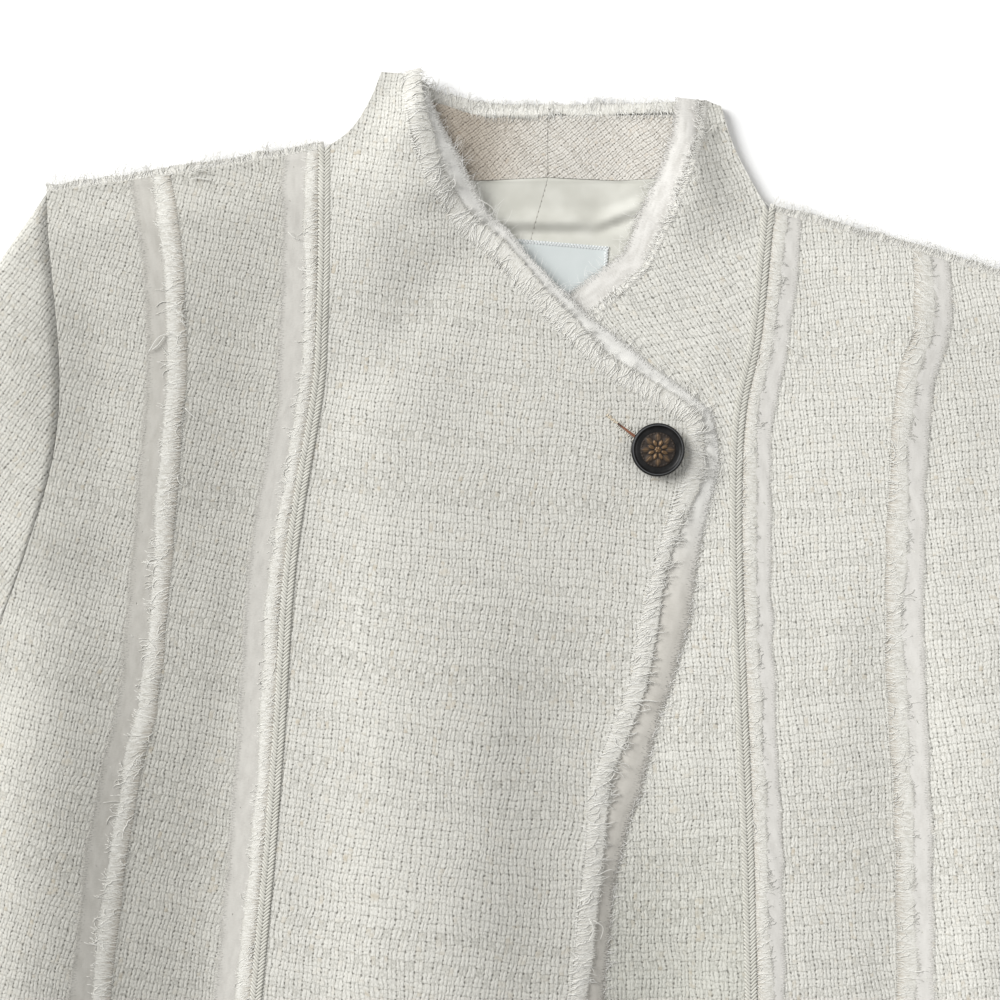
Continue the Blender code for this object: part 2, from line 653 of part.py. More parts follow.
def button_pieces(materials):
    """The shank, the black body with its raised rim and the bronze relief in its face."""
    x, y = BUTTON_CENTRE
    seat = float(upper_height(np.array(BUTTON_CENTRE))) + SEAT
    radius = BUTTON_RADIUS
    turned("button_shank", (x, y, seat),
           [(0, 0), (SHANK_RADIUS, 0), (SHANK_RADIUS, SHANK_HEIGHT), (0, SHANK_HEIGHT)],
           materials["shank"], sides=16)
    under = seat + SHANK_HEIGHT + 0.5 * LAY
    dish = BUTTON_THICKNESS - DISH
    rings = [(share * radius, height) for share, height in BUTTON_PROFILE]
    turned("button", (x, y, under), [(0, 0), *rings, (0, dish)], materials["button"], sides=32)
    # a domed rosette: the rings swell and sink with the petals
    base = under + dish + 0.5 * LAY
    sides = 4 * PETALS
    points = [(x, y, base)]
    for ring, (reach, height) in enumerate(ROSETTE_PROFILE):
        for side in range(sides):
            angle = 2 * math.pi * side / sides
            petal = 0.5 + 0.5 * math.cos(PETALS * angle)
            swell = 1.0 - 0.09 * (1.0 - petal) * (0 < ring < 4)
            lift = height * (0.55 + 0.45 * petal) if 0 < ring < 4 else height
            r = radius * reach * swell
            points.append((x + r * math.cos(angle), y + r * math.sin(angle), base + lift))
    points.append((x, y, base + ROSETTE_TOP))
    faces = []
    for side in range(sides):
        after = (side + 1) % sides
        faces.append((0, 1 + after, 1 + side))
        for ring in range(len(ROSETTE_PROFILE) - 1):
            a = 1 + ring * sides
            faces.append((a + side, a + after, a + sides + after, a + sides + side))
        last = 1 + (len(ROSETTE_PROFILE) - 1) * sides
        faces.append((len(points) - 1, last + side, last + after))
    solid("button_relief", points, faces, materials["bronze"])


def centre_on_origin():
    """Move every piece so that the middle of the part's box is over the origin."""
    pieces = list(bpy.context.scene.collection.objects)
    corners = np.array([tuple(vertex.co) for piece in pieces for vertex in piece.data.vertices])
    middle = 0.5 * (corners.min(axis=0) + corners.max(axis=0))
    for piece in pieces:
        for vertex in piece.data.vertices:
            vertex.co.x -= middle[0]
            vertex.co.y -= middle[1]


def build():
    """Make the whole jacket."""
    for old in list(bpy.data.objects):
        bpy.data.objects.remove(old, do_unlink=True)
    materials = {
        "tweed": principled("tweed", (0.60, 0.58, 0.52), 0.9),
        "facing": principled("facing", (0.52, 0.47, 0.40), 0.9),
        "yarn": principled("yarn", (0.70, 0.68, 0.62), 0.85),
        "chiffon": principled("chiffon", (0.66, 0.65, 0.60), 0.7),
        "braid": principled("braid", (0.72, 0.71, 0.65), 0.75),
        "satin": principled("satin", (0.62, 0.61, 0.54), 0.35),
        "label": principled("label", (0.66, 0.70, 0.72), 0.6),
        "button": principled("button", (0.012, 0.012, 0.014), 0.3),
        "bronze": principled("bronze", (0.20, 0.11, 0.05), 0.45, 0.8),
        "shank": principled("shank", (0.03, 0.03, 0.03), 0.5),
    }
    back_pieces(materials)
    fronts = (("right", RIGHT, EDGE_RIGHT, COLLAR_FOLD_RIGHT, INNER_SEAM_RIGHT, OUTER_SEAM_RIGHT,
               upper_height),
              ("left", LEFT, EDGE_LEFT, COLLAR_FOLD_LEFT, INNER_SEAM_LEFT, OUTER_SEAM_LEFT,
               lower_height))
    for side, corners, edge, fold, inner_seam, outer_seam, height in fronts:
        side_front = body_side(side, corners, inner_seam, outer_seam, materials)
        centre, raw = centre_front(side, edge, fold, inner_seam, height, materials)
        seam_braid(side, centre, side_front, materials)
        last = len(raw) - 1
        widths = np.interp(np.arange(last + 1), *zip(*EDGE_CHIFFON))
        if side == "left":
            last = NECK_FRINGE_ROWS
            widths = np.full(last + 1, NECK_CHIFFON_WIDTH)
        edge_trims(side, raw, height, widths, last, materials)
        shoulder_fringe(side, corners, inner_seam, outer_seam, materials)
        sleeve(f"sleeve_{side}", side, corners, materials["tweed"])
    button_pieces(materials)
    centre_on_origin()


build()
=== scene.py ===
import math

import bpy
import numpy as np
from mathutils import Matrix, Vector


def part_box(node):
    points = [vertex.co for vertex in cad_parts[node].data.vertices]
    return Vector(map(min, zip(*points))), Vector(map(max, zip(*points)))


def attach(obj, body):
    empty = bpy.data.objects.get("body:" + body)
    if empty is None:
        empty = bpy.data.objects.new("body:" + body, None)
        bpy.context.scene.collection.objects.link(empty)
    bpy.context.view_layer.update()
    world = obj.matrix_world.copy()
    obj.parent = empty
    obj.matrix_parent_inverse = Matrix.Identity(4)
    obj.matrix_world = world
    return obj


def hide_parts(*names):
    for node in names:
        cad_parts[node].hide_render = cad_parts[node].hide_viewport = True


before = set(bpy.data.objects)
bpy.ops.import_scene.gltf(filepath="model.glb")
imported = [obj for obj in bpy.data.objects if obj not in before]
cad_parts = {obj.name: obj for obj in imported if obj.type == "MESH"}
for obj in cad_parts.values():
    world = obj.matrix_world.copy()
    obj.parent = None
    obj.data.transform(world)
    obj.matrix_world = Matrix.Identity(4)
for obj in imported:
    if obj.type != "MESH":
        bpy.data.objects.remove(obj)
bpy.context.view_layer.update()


# ------------------------------------------------------------------ table, lamps and camera
# The jacket lies on a plain pale table. One broad soft lamp stands up and to the left, a
# weaker one to the right, and white walls all round fill in. The camera looks straight down.
scene = bpy.context.scene
scene.view_settings.view_transform = "Standard"

CAMERA_OVER = (0.00714, 0.15037)      # a point between the neck and the button
CAMERA_HEIGHT = 1.308
CLOTH_LEVEL = 0.008                   # where the picture's width is measured
VIEW_WIDTH = 0.42
SENSOR = 36.0

lens = bpy.data.cameras.new("camera")
lens.sensor_width = SENSOR
lens.lens = SENSOR * (CAMERA_HEIGHT - CLOTH_LEVEL) / VIEW_WIDTH
camera = bpy.data.objects.new("camera", lens)
camera.location = (*CAMERA_OVER, CAMERA_HEIGHT)
scene.collection.objects.link(camera)
scene.camera = camera

LAMPS_AIM = (0.0, 0.1, 0.0)
LAMPS = [
    # name, place, size, watts
    ("main_lamp", (-3.75, 2.2, 3.0), 3.8, 392.0),
    ("side_lamp", (1.5, 0.2, 1.6), 1.6, 12.0),
]
for name, place, size, watts in LAMPS:
    light = bpy.data.lights.new(name, "AREA")
    light.shape = "DISK"
    light.size = size
    light.energy = watts
    lamp = bpy.data.objects.new(name, light)
    lamp.location = place
    back_along = np.array(place) - LAMPS_AIM
    lamp.rotation_euler = (math.acos(back_along[2] / np.linalg.norm(back_along)), 0.0,
                           math.atan2(back_along[1], back_along[0]) + math.pi / 2)
    scene.collection.objects.link(lamp)

walls = bpy.data.worlds.new("white_walls")
walls.use_nodes = True
walls.node_tree.nodes["Background"].inputs["Color"].default_value = (1.0, 1.0, 1.0, 1.0)
walls.node_tree.nodes["Background"].inputs["Strength"].default_value = 0.30
scene.world = walls


class Tone:
    """A socket of a material. Arithmetic on it adds the Math nodes that the sum needs."""

    def __init__(self, tree, socket=None):
        self.tree = tree
        self.socket = socket

    def node(self, kind, settings, sockets, out=0):
        """Add a node, its settings first, then the values or links of its sockets."""
        made = self.tree.nodes.new("ShaderNode" + kind)
        for name, value in settings.items():
            setattr(made, name, value)
        for name, value in sockets.items():
            self.feed(made.inputs[name], value)
        if isinstance(out, tuple):
            return [Tone(self.tree, made.outputs[number]) for number in out]
        return Tone(self.tree, made.outputs[out])

    def feed(self, socket, value):
        if isinstance(value, Tone):
            self.tree.links.new(value.socket, socket)
        else:
            socket.default_value = value

    def surface(self, name, value):
        """Feed a socket of the material's Principled shader."""
        self.feed(self.tree.nodes["Principled BSDF"].inputs[name], value)

    def bump(self, strength, distance, height):
        self.surface("Normal", self.node("Bump", {}, {"Strength": strength, "Distance": distance,
                                                      "Height": height}))

    def cloth(self):
        """The cloth coordinates that the mesh carries."""
        return self.node("Attribute", {"attribute_name": "cloth"}, {}, out=1)

    def solid(self):
        """The object's own coordinates."""
        return self.node("TexCoord", {}, {}, out=3)

    def maths(self, operation, *others):
        return self.node("Math", {"operation": operation}, dict(enumerate((self, *others))))

    def __add__(self, other):
        return self.maths("ADD", other)

    def __sub__(self, other):
        return self.maths("SUBTRACT", other)

    def __mul__(self, other):
        return self.maths("MULTIPLY", other)

    def __truediv__(self, other):
        return self.maths("DIVIDE", other)

    def __rsub__(self, other):
        return self * -1.0 + other

    def ramp(self, low, high, bottom=0.0, top=1.0):
        """A soft step from bottom to top as the value goes from low to high."""
        limits = {"From Min": low, "From Max": high, "To Min": bottom, "To Max": top}
        return self.node("MapRange", {"interpolation_type": "SMOOTHSTEP"},
                         {"Value": self, **limits})

    def between(self, none, full):
        """A colour between two, by this value."""
        return self.node("Mix", {"data_type": "RGBA"}, {0: self, 6: none, 7: full}, out=2)

    def times(self, colour):
        """This colour multiplied by another."""
        return self.node("Mix", {"data_type": "RGBA", "blend_type": "MULTIPLY"},
                         {0: 1.0, 6: self, 7: colour}, out=2)

    def with_y(self, other):
        """A vector of this value and another."""
        return self.node("CombineXYZ", {}, {0: self, 1: other})

    def part(self, which):
        """One value of this vector, or several."""
        return self.node("SeparateXYZ", {}, {0: self}, out=which)

    def stretched(self, *shares):
        return self.node("VectorMath", {"operation": "MULTIPLY"}, {0: self, 1: shares})

    def noise(self, scale, detail=2.0, out=0):
        return self.node("TexNoise", {}, {"Vector": self, "Scale": scale, "Detail": detail},
                         out=out)


def material_of(name, roughness, **constants):
    """A new material and a Tone to build on."""
    material = bpy.data.materials.new(name)
    material.use_nodes = True
    paint = Tone(material.node_tree)
    paint.surface("Roughness", roughness)
    for socket, value in constants.items():
        paint.surface(socket.replace("_", " "), value)
    return material, paint


top_material, paint = material_of("table_top", 0.7)
mottle = paint.solid().noise(9.0, 3.0)
paint.surface("Base Color", mottle.between((0.93, 0.93, 0.925, 1), (0.96, 0.96, 0.955, 1)))
TABLE_LEVEL = -0.0004
table_corners = [(-6, -6, TABLE_LEVEL), (6, -6, TABLE_LEVEL), (6, 6, TABLE_LEVEL), (-6, 6, TABLE_LEVEL)]
table_mesh = bpy.data.meshes.new("table")
table_mesh.from_pydata(table_corners, [], [(0, 1, 2, 3)])
table_mesh.materials.append(top_material)
table = bpy.data.objects.new("table", table_mesh)
scene.collection.objects.link(table)


# ------------------------------------------------------------------ back
# The back is one panel of the cream tweed, 2 mm thick, and lies flat under the rest. The
# tweed is woven of paired, slubbed yarns: long warp stitches side by side with short weft
# stitches between their ends, offset from column to column, with small holes in a chain down
# the gaps. Lengths are in millimetres from the middle of the back collar's top edge.
low, high = (np.array(corner) * 1000.0 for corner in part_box("button"))
BUTTON_CENTRE = np.array((45.8, -142.0))
MIDDLE = np.array((*(0.5 * (low + high)[:2] - BUTTON_CENTRE), 0.0))

TWEED = 2.0
SEAM = 0.08
SIGN = {"right": -1.0, "left": 1.0}
SHOULDER_TIP = {"right": (-211, -33), "left": (208, -74)}
ARMHOLE_BOW = {"right": (-206, -140), "left": (204, -175)}
UNDERARM = {"right": (-245, -257), "left": (226, -282)}
HEM_END = {"right": (-268, -487), "left": (216, -512)}
INNER_SEAM = {
    "right": [(-94, -15), (-94, -56), (-95, -92), (-97, -118), (-108, -188), (-113, -261),
              (-119, -334), (-135, -494)],
    "left": [(93, -41), (91, -58), (87, -95), (80, -132), (79, -190), (81, -251), (84, -324),
             (88, -505)],
}
OUTER_SEAM = {
    "right": [(-159, -26), (-153, -65), (-152, -116), (-159, -205), (-164, -251), (-171, -282),
              (-180, -344), (-195, -490)],
    "left": [(154, -58), (153, -90), (145, -121), (141, -209), (144, -282), (146, -345),
             (148, -508)],
}
COLLAR_FOLD = {"right": [(-70, 17), (-75, 5), (-83, -7), (-94, -15)],
               "left": [(73, 3), (78, -13), (85, -27), (93, -41)]}
NECK_SEAM = [COLLAR_FOLD["right"][-1], (-60, -26), (0, -31), (60, -36), COLLAR_FOLD["left"][-1]]
BODY_ROWS = 28
ARMHOLE_ROWS = 14
FINE = 6                 # finer rows for each row of the solid


def smooth(t):
    t = np.clip(t, 0.0, 1.0)
    return t * t * (3.0 - 2.0 * t)


def lengths(line):
    """How far along a run of points each of them is."""
    return np.concatenate([[0.0], np.cumsum(np.linalg.norm(np.diff(line, axis=0), axis=1))])


def sampled(places, known, line):
    """Points of a line at some places, from the places of its own points."""
    return np.column_stack([np.interp(places, known, values) for values in line.T])


def path(points, count):
    """Points at equal steps along a smooth curve through the given ones."""
    given = np.array(points, float)
    knots = np.vstack([2 * given[0] - given[1], given, 2 * given[-1] - given[-2]])
    dense = []
    for p0, p1, p2, p3 in zip(knots, knots[1:], knots[2:], knots[3:]):
        for t in np.linspace(0.0, 1.0, 24, endpoint=False):
            dense.append(0.5 * (2 * p1 + (p2 - p0) * t + (2 * p0 - 5 * p1 + 4 * p2 - p3) * t * t
                                + (3 * p1 - p0 - 3 * p2 + p3) * t ** 3))
    dense = np.array(dense + [knots[-2]])
    run = lengths(dense)
    return sampled(np.linspace(0.0, run[-1], count + 1), run, dense)


def joined(*parts):
    return np.vstack([parts[0]] + [part[1:] for part in parts[1:]])


def patch(top, bottom, left, right):
    """A grid of points between four edges that meet at their corners."""
    s = np.linspace(0.0, 1.0, len(top))[None, :, None]
    t = np.linspace(0.0, 1.0, len(left))[:, None, None]
    corners = (1 - t) * ((1 - s) * top[0] + s * top[-1])
    corners = corners + t * ((1 - s) * bottom[0] + s * bottom[-1])
    return (1 - t) * top + t * bottom + (1 - s) * left[:, None] + s * right[:, None] - corners


def grain(points, middle, lean, fan=0.0):
    """Cloth coordinates of points of the plane, in millimetres: across and along the warp.

    lean is how far the warp leans to the right at the middle, in degrees, and fan how much
    that changes over 100 mm to the right.
    """
    z = (points[..., 0] - middle[0]) + 1j * (points[..., 1] - middle[1])
    bend = math.radians(fan) / 100.0
    if fan:
        z = (np.exp(1j * bend * z) - 1.0) / (1j * bend)
    turned = np.exp(1j * math.radians(lean)) * z
    return np.stack([turned.real, turned.imag, np.zeros(turned.shape)], axis=-1)


def spread(start, end, share):
    """A grid of points between two lines, at shares of the way across."""
    share = share[None, :, None]
    return start[:, None] * (1.0 - share) + end[:, None] * share


def raised(flat, height):
    """Points of the plane lifted to their heights."""
    return np.concatenate([flat, np.broadcast_to(height, flat.shape[:-1])[..., None]], axis=-1)


def meshed(name, points, faces, material, cloth):
    """A smooth mesh from points in millimetres, with cloth coordinates for its material."""
    mesh = bpy.data.meshes.new(name)
    faces = faces if isinstance(faces, list) else faces.tolist()
    mesh.from_pydata(((points + MIDDLE) * 0.001).tolist(), [], faces)
    mesh.shade_smooth()
    mesh.materials.append(material)
    coordinates = mesh.attributes.new("cloth", "FLOAT_VECTOR", "POINT")
    coordinates.data.foreach_set("vector", cloth.astype(np.float32).ravel())
    return mesh


def piece_of(name, mesh, slot, *nodes):
    """An object that rides with the jacket and stands for its solids."""
    piece = bpy.data.objects.new(name, mesh)
    scene.collection.objects.link(piece)
    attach(piece, "root")
    if nodes:
        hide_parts(*nodes)
    return piece


def shell(name, top, thickness, material, cloth, slot, *nodes, flat=None, on=("back",)):
    """A sheet of cloth under a grid of points, cut square at its edges. flat, its cut in metres,
    is not used."""
    rows, columns = top.shape[:2]
    number = np.arange(rows * columns).reshape(rows, columns)
    a, b = number[:-1, :-1].ravel(), number[1:, :-1].ravel()
    c, d = number[1:, 1:].ravel(), number[:-1, 1:].ravel()
    drop = rows * columns
    around = np.concatenate([number[0], number[1:, -1], number[-1, -2::-1], number[-2:0:-1, 0]])
    after = np.roll(around, -1)
    faces = np.vstack([np.column_stack([a, b, c, d]),
                       np.column_stack([d, c, b, a]) + drop,
                       np.column_stack([around, after, after + drop, around + drop])])
    east, south = top[0, -1] - top[0, 0], top[-1, 0] - top[0, 0]
    if east[0] * south[1] - east[1] * south[0] > 0.0:
        faces = faces[:, ::-1]
    both = np.vstack([top.reshape(-1, 3), (top - (0.0, 0.0, thickness)).reshape(-1, 3)])
    mesh = meshed(name, both, faces, material, np.vstack([cloth.reshape(-1, 3)] * 2))
    mesh.polygons.foreach_set("use_smooth", np.arange(len(faces)) < len(faces) - len(around))
    piece = piece_of(name, mesh, slot, *nodes)
    area = 0.0
    for corner in (top[:-1, :-1], top[1:, 1:]):
        lie = np.cross(top[1:, :-1] - corner, top[:-1, 1:] - corner)
        area += 0.5 * np.linalg.norm(lie, axis=-1).sum()
    area *= 1e-6
    if flat is None:
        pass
    elif flat:
        min(area, flat[0] * flat[1])


COLUMN = 3.12            # width of a pair of warp yarns
STITCH = 7.14            # from one warp stitch to the next in its column
WARP_SHARE = 0.58        # how much of that the warp stitch covers


def tweed_of(name, light, gap_shade, hole_shade, warm, finer=1.0, squarer=1.0, cover=WARP_SHARE,
             shade_tint=(0.70, 0.64, 0.58, 1)):
    """The tweed's material in four tones: yarn, painted shade in its gaps, painted shadow in its holes,
    and ecru slubs.

    It darkens towards the last colour given, a painted shade, as the third cloth coordinate goes to
    one.
    """
    material, paint = material_of(name, 0.85, Sheen_Weight=0.25, Sheen_Roughness=0.6,
                                  Specular_IOR_Level=0.25)
    place = paint.cloth()
    across, along, painted_shade = place.part((0, 1, 2))
    wander_u, wander_v = place.noise(0.035, 3.0, out=1).part((0, 1))
    shake_u, shake_v = place.noise(0.5, 2.0, out=1).part((0, 1))
    across = (across + wander_u * 7.0 + shake_u * 1.25) * (finer / COLUMN)
    along = (along + wander_v * 7.0) * (finer * squarer / STITCH)
    row_chance = paint.node("TexWhiteNoise", {"noise_dimensions": "1D"},
                            {"W": (along * 2.0).maths("FLOOR")})

    column = across.maths("FLOOR")
    a = across.maths("FRACT")
    along = along + column.maths("FLOORED_MODULO", 2.0) * 0.5 + shake_v * 0.26
    b = along.maths("FRACT")
    chance, several = paint.node("TexWhiteNoise", {"noise_dimensions": "2D"},
                                 {"Vector": column.with_y(along.maths("FLOOR"))}, out=(0, 1))
    tint_chance = several.part(2)
    slub = ((across * 2.0).maths("FLOOR") * 3.7).with_y(along * 1.6).noise(1.0, 2.0)

    # how far a place is from the nearest quarter of a stitch, in quarters
    quarter = (b * 4.0).maths("FRACT")
    near = quarter.maths("MINIMUM", 1.0 - quarter)
    # long warp stitch: two yarns side by side, thicker and thinner along their length
    t = (b * (2.0 / cover) - 1.0).maths("ABSOLUTE")
    pair = (a * 2.0).maths("FRACT") * 2.0 - 1.0
    pinch = slub.ramp(0.35, 0.65, 0.75, 0.35)
    warp = (1.0 - pair * pair * pinch) * (1.0 - t * t * 0.24) * near.ramp(0.0, 0.3, 0.86, 1.0)
    warp = warp * (1.0 - t.ramp(0.86, 1.16))
    # short weft stitch: two yarns across, between the ends of the warp stitches
    q = (b - cover) * (1.0 / (1.0 - cover))
    within = (q * 2.0 - 1.0).maths("ABSOLUTE")
    double = (q * 2.0).maths("FRACT") * 2.0 - 1.0
    side = (a * 2.0 - 1.0).maths("ABSOLUTE")
    weft = (1.0 - within.ramp(0.9, 1.25)) * (1.0 - double * double * 0.22)
    weft = weft * (1.0 - side * side * side * 0.35) * row_chance.ramp(0.0, 0.4, 0.68, 0.92)
    weft = weft * (1.0 - pair * pair * 0.30)
    height = warp.maths("MAXIMUM", weft)

    # holes at the quarters, in a chain down every gap between two columns
    down = near * (0.25 * STITCH)
    out = (1.0 - side) * (0.5 * COLUMN)
    away = (down * down + out * out * 1.3).maths("SQRT")
    size = place.noise(0.45, 1.0).ramp(0.36, 0.64, 0.12, 0.52)
    open_hole = 1.0 - (away / size).ramp(0.45, 1.15)

    fibre = place.stretched(2.6, 1.0, 1.0).noise(1.0, 3.0)
    cloud = place.noise(0.018, 2.0)
    # painted shade: low parts of the weave, the gaps between yarns, take the darker tone
    body = (height + fibre * 1.2 - 0.6).ramp(0.05, 1.0).between(gap_shade, light)
    tint = (slub.ramp(0.5, 0.75) * tint_chance * tint_chance).between(body, warm)
    level = fibre * 0.55 + slub * 0.16 + chance * 0.05 + cloud * 0.10 + 0.50
    tone_and_shade = tint.times(level.between((0, 0, 0, 1), (1, 1, 1, 1)))
    # painted shade: towards the last colour given as the third cloth coordinate rises
    tone_and_shade = tone_and_shade.times(painted_shade.between((1, 1, 1, 1), shade_tint))
    # painted shadow in the holes
    paint.surface("Base Color", (open_hole * 0.68).between(tone_and_shade, hole_shade))
    paint.bump(0.75, 0.0005, height * 0.75 + fibre * 0.35 + slub * 0.3 - open_hole * 0.4)
    return material


tweed = tweed_of("cream_tweed", (0.66, 0.65, 0.60, 1), (0.38, 0.37, 0.325, 1),
                 (0.09, 0.085, 0.07, 1), (0.50, 0.455, 0.37, 1))
# the right side's pieces get a darker copy of the tweed: painted shade
shaded_tweed = tweed_of("shaded_tweed", (0.60, 0.59, 0.54, 1), (0.34, 0.33, 0.29, 1),
                        (0.08, 0.075, 0.06, 1), (0.46, 0.42, 0.34, 1))
# and the left side's a lighter copy: painted light
lit_tweed = tweed_of("lit_tweed", (0.745, 0.735, 0.68, 1), (0.43, 0.42, 0.37, 1),
                     (0.10, 0.095, 0.08, 1), (0.56, 0.51, 0.415, 1), shade_tint=(0.66, 0.67, 0.64, 1))


def side_edge(side):
    """The outer edge of one side of the body: armhole, then side seam."""
    armhole = path([SHOULDER_TIP[side], ARMHOLE_BOW[side], UNDERARM[side]], ARMHOLE_ROWS * FINE)
    seam = path([UNDERARM[side], HEM_END[side]], (BODY_ROWS - ARMHOLE_ROWS) * FINE)
    return joined(armhole, seam)


neck = path(NECK_SEAM, 60)
shoulder = {side: path([SHOULDER_TIP[side], OUTER_SEAM[side][0], COLLAR_FOLD[side][-1]], 40)
            for side in SIGN}
top_edge = joined(shoulder["right"], neck - (0.0, SEAM), shoulder["left"][::-1])
hem_points = [HEM_END["right"], INNER_SEAM["right"][-1], INNER_SEAM["left"][-1], HEM_END["left"]]
hem = sampled(np.linspace(0, 3, len(top_edge)), range(4), np.array(hem_points))
back_grid = patch(top_edge, hem, side_edge("right"), side_edge("left"))[::2, ::2]
shell("tweed_back", raised(back_grid, TWEED), TWEED - 0.05, tweed,
      grain(back_grid, (0, -260), 1.0), "tweed", "back", on=("table",))


# ------------------------------------------------------------------ back of the collar, facing
# The funnel collar's back half stands on the neck seam and lies down flat. Inside it shows
# its facing, the same tweed cut on the bias in two halves, with painted shade, brown,
# deepening towards the collar's right side.
COLLAR_TOP = [COLLAR_FOLD["right"][0], (-52, 1), (0, 0), (56, 2), COLLAR_FOLD["left"][0]]
collar_grid = patch(path(COLLAR_TOP, 60), neck, path(COLLAR_FOLD["right"], 12),
                    path(COLLAR_FOLD["left"], 12))
shell("tweed_collar_back", raised(collar_grid, TWEED), TWEED - 0.05, tweed,
      grain(collar_grid, (4, 0), 1.0), "tweed", "collar_back", on=("table",))

FACING = 1.6
FACING_HALF = 60.0
FACING_LOW = [(0, -27.0), (30, -28.5), (60, -27.0)]       # distance from the middle, y
facing_tweed = tweed_of("bias_tweed", (0.72, 0.695, 0.64, 1), (0.38, 0.345, 0.29, 1),
                        (0.08, 0.065, 0.05, 1), (0.54, 0.475, 0.39, 1), finer=1.35, squarer=1.15,
                        cover=0.52)


def neck_hollow(points):
    """How much the inside of the neck rises towards the collar's two sides."""
    x, y = points[..., 0], points[..., 1]
    middle = -4.0 + 0.10 * (y + 14.0)
    rise = 4.6 * smooth((middle - 14.0 - x) / 32.0) + 3.0 * smooth((x - middle - 26.0) / 30.0)
    return rise * (1.0 - 0.75 * smooth((-y - 55.0) / 40.0))


for side, sign in SIGN.items():
    across = np.concatenate([[0.0, 0.003], np.linspace(0.02, 1.0, 50)])
    upper = sign * (0.5 * SEAM + FACING_HALF * across)
    upper = np.column_stack([upper, -1.0 + 5.0 * smooth((-upper - 28.0) / 22.0)])
    lower = np.column_stack([upper[:, 0], np.interp(FACING_HALF * across, *zip(*FACING_LOW))])
    down = np.concatenate([np.linspace(0.0, 0.97, 24), [0.993, 1.0]])[:, None, None]
    grid = upper * (1.0 - down) + lower * down
    swell = np.sin(grid[..., 0] * 0.11) * 0.12 + np.sin(grid[..., 1] * 0.3) * 0.08
    swell += neck_hollow(grid)
    weave = grain(grid, (0, -14), 51.0)
    # painted shade: darker and browner towards the collar's right side
    weave[..., 2] = smooth((2.0 - grid[..., 0]) / 38.0)
    shell(f"facing_{side}", raised(grid, TWEED + 0.3 + FACING + swell), FACING, facing_tweed, weave,
          "facing", f"neck_facing_{side}", on=("collar_back",))


# ------------------------------------------------------------------ lining and label
# Below the facing the ivory satin lining shows, with its centre seam and one soft crease. A
# bare woven tape, where a label goes, is zigzag stitched to it.
LINING_CREASES = [(-30, -45, 22, -46, 3.2, 1.9), (22, -46, 42, -38, 3.0, 1.7),
                  (-30, -50, 20, -50.5, 2.4, -1.1), (20, -50.5, 40, -43, 2.2, -1.1),
                  (-44, -36, -20, -34, 5.0, -1.0), (0, -36, 30, -37, 2.2, 0.2),
                  (30, -34, 44, -29, 2.4, 0.4), (-34, -60, -20, -80, 5.0, 0.7)]


def distance(points, start, end):
    """Distance of points from a segment, and how far along it the nearest place is."""
    start = np.array(start, float)
    along = np.array(end, float) - start
    t = np.clip(((points - start) @ along) / (along @ along), 0.0, 1.0)
    return np.linalg.norm(points - (start + t[..., None] * along), axis=-1), t


def folded(points, folds):
    """Summed height of soft ridges and troughs: from, to, half width and height of each."""
    total = np.zeros(points.shape[:-1])
    for x0, y0, x1, y1, half_width, rise in folds:
        away, t = distance(points, (x0, y0), (x1, y1))
        ends = 0.35 + 0.65 * smooth(np.minimum(t, 1.0 - t) / 0.25)
        total += rise * ends * np.exp(-(away / half_width) ** 2)
    return total


def lining_height(points):
    return TWEED + 0.3 + 1.0 + folded(points, LINING_CREASES) + neck_hollow(points)


def on(height, flat, rise=0.0):
    """Points of the plane lifted to a height given by a function."""
    return raised(flat, height(flat) + rise)


LINING_SEAM = [(0, -27.6), (-9, -62), (-14, -104)]
LINING_SIDE = [(52, -27.6), (50, -62), (34, -104)]
satin, paint = material_of("ivory_satin", 0.48, Sheen_Weight=0.3, Specular_IOR_Level=0.3)
place = paint.cloth()
run = place.stretched(6.0, 0.35, 1.0).noise(1.0, 2.0)
paint.surface("Base Color", place.noise(0.07, 2.0).ramp(0.3, 0.7).between(
    (0.51, 0.505, 0.45, 1), (0.60, 0.595, 0.54, 1)))
paint.surface("Roughness", run * 0.14 + 0.42)
paint.bump(0.22, 0.0002, run)
for side, sign in SIGN.items():
    start = path([(sign * 0.5 * SEAM + x, y) for x, y in LINING_SEAM], 60)
    end = path([(sign * x, y) for x, y in LINING_SIDE], 60)
    grid = spread(start, end, np.concatenate([[0.0, 0.004], np.linspace(0.03, 1.0, 40)]))
    grid[0, :, 1] = np.interp(sign * grid[0, :, 0], *zip(*FACING_LOW)) - 0.1
    top = on(lining_height, grid)
    top[0, :, 2] += 0.35
    shell(f"satin_lining_{side}", top, 0.5, satin, grain(grid, (0, -60), 6.0),
          "satin", f"lining_{side}")

tape, paint = material_of("woven_tape", 0.42, Sheen_Weight=0.3)
place = paint.cloth()
rib = paint.node("TexWave", {"bands_direction": "Y"}, {"Vector": place, "Scale": 0.9,
                                                       "Distortion": 0.6, "Detail": 1.0})
paint.surface("Base Color", (place.noise(0.12, 2.0) * 0.6 + rib * 0.2).between(
    (0.53, 0.57, 0.565, 1), (0.63, 0.67, 0.66, 1)))
paint.bump(0.2, 0.0001, rib)
grid = spread(path([(-21.5, -52.2), (-21, -80)], 30), path([(25.6, -56.2), (24, -83)], 30),
              np.linspace(0, 1, 40))
shell("label_tape", on(lining_height, grid, 0.42), 0.3, tape, grain(grid, (0, -60), -4.0),
      "label", "label", on=("lining_right", "lining_left"))


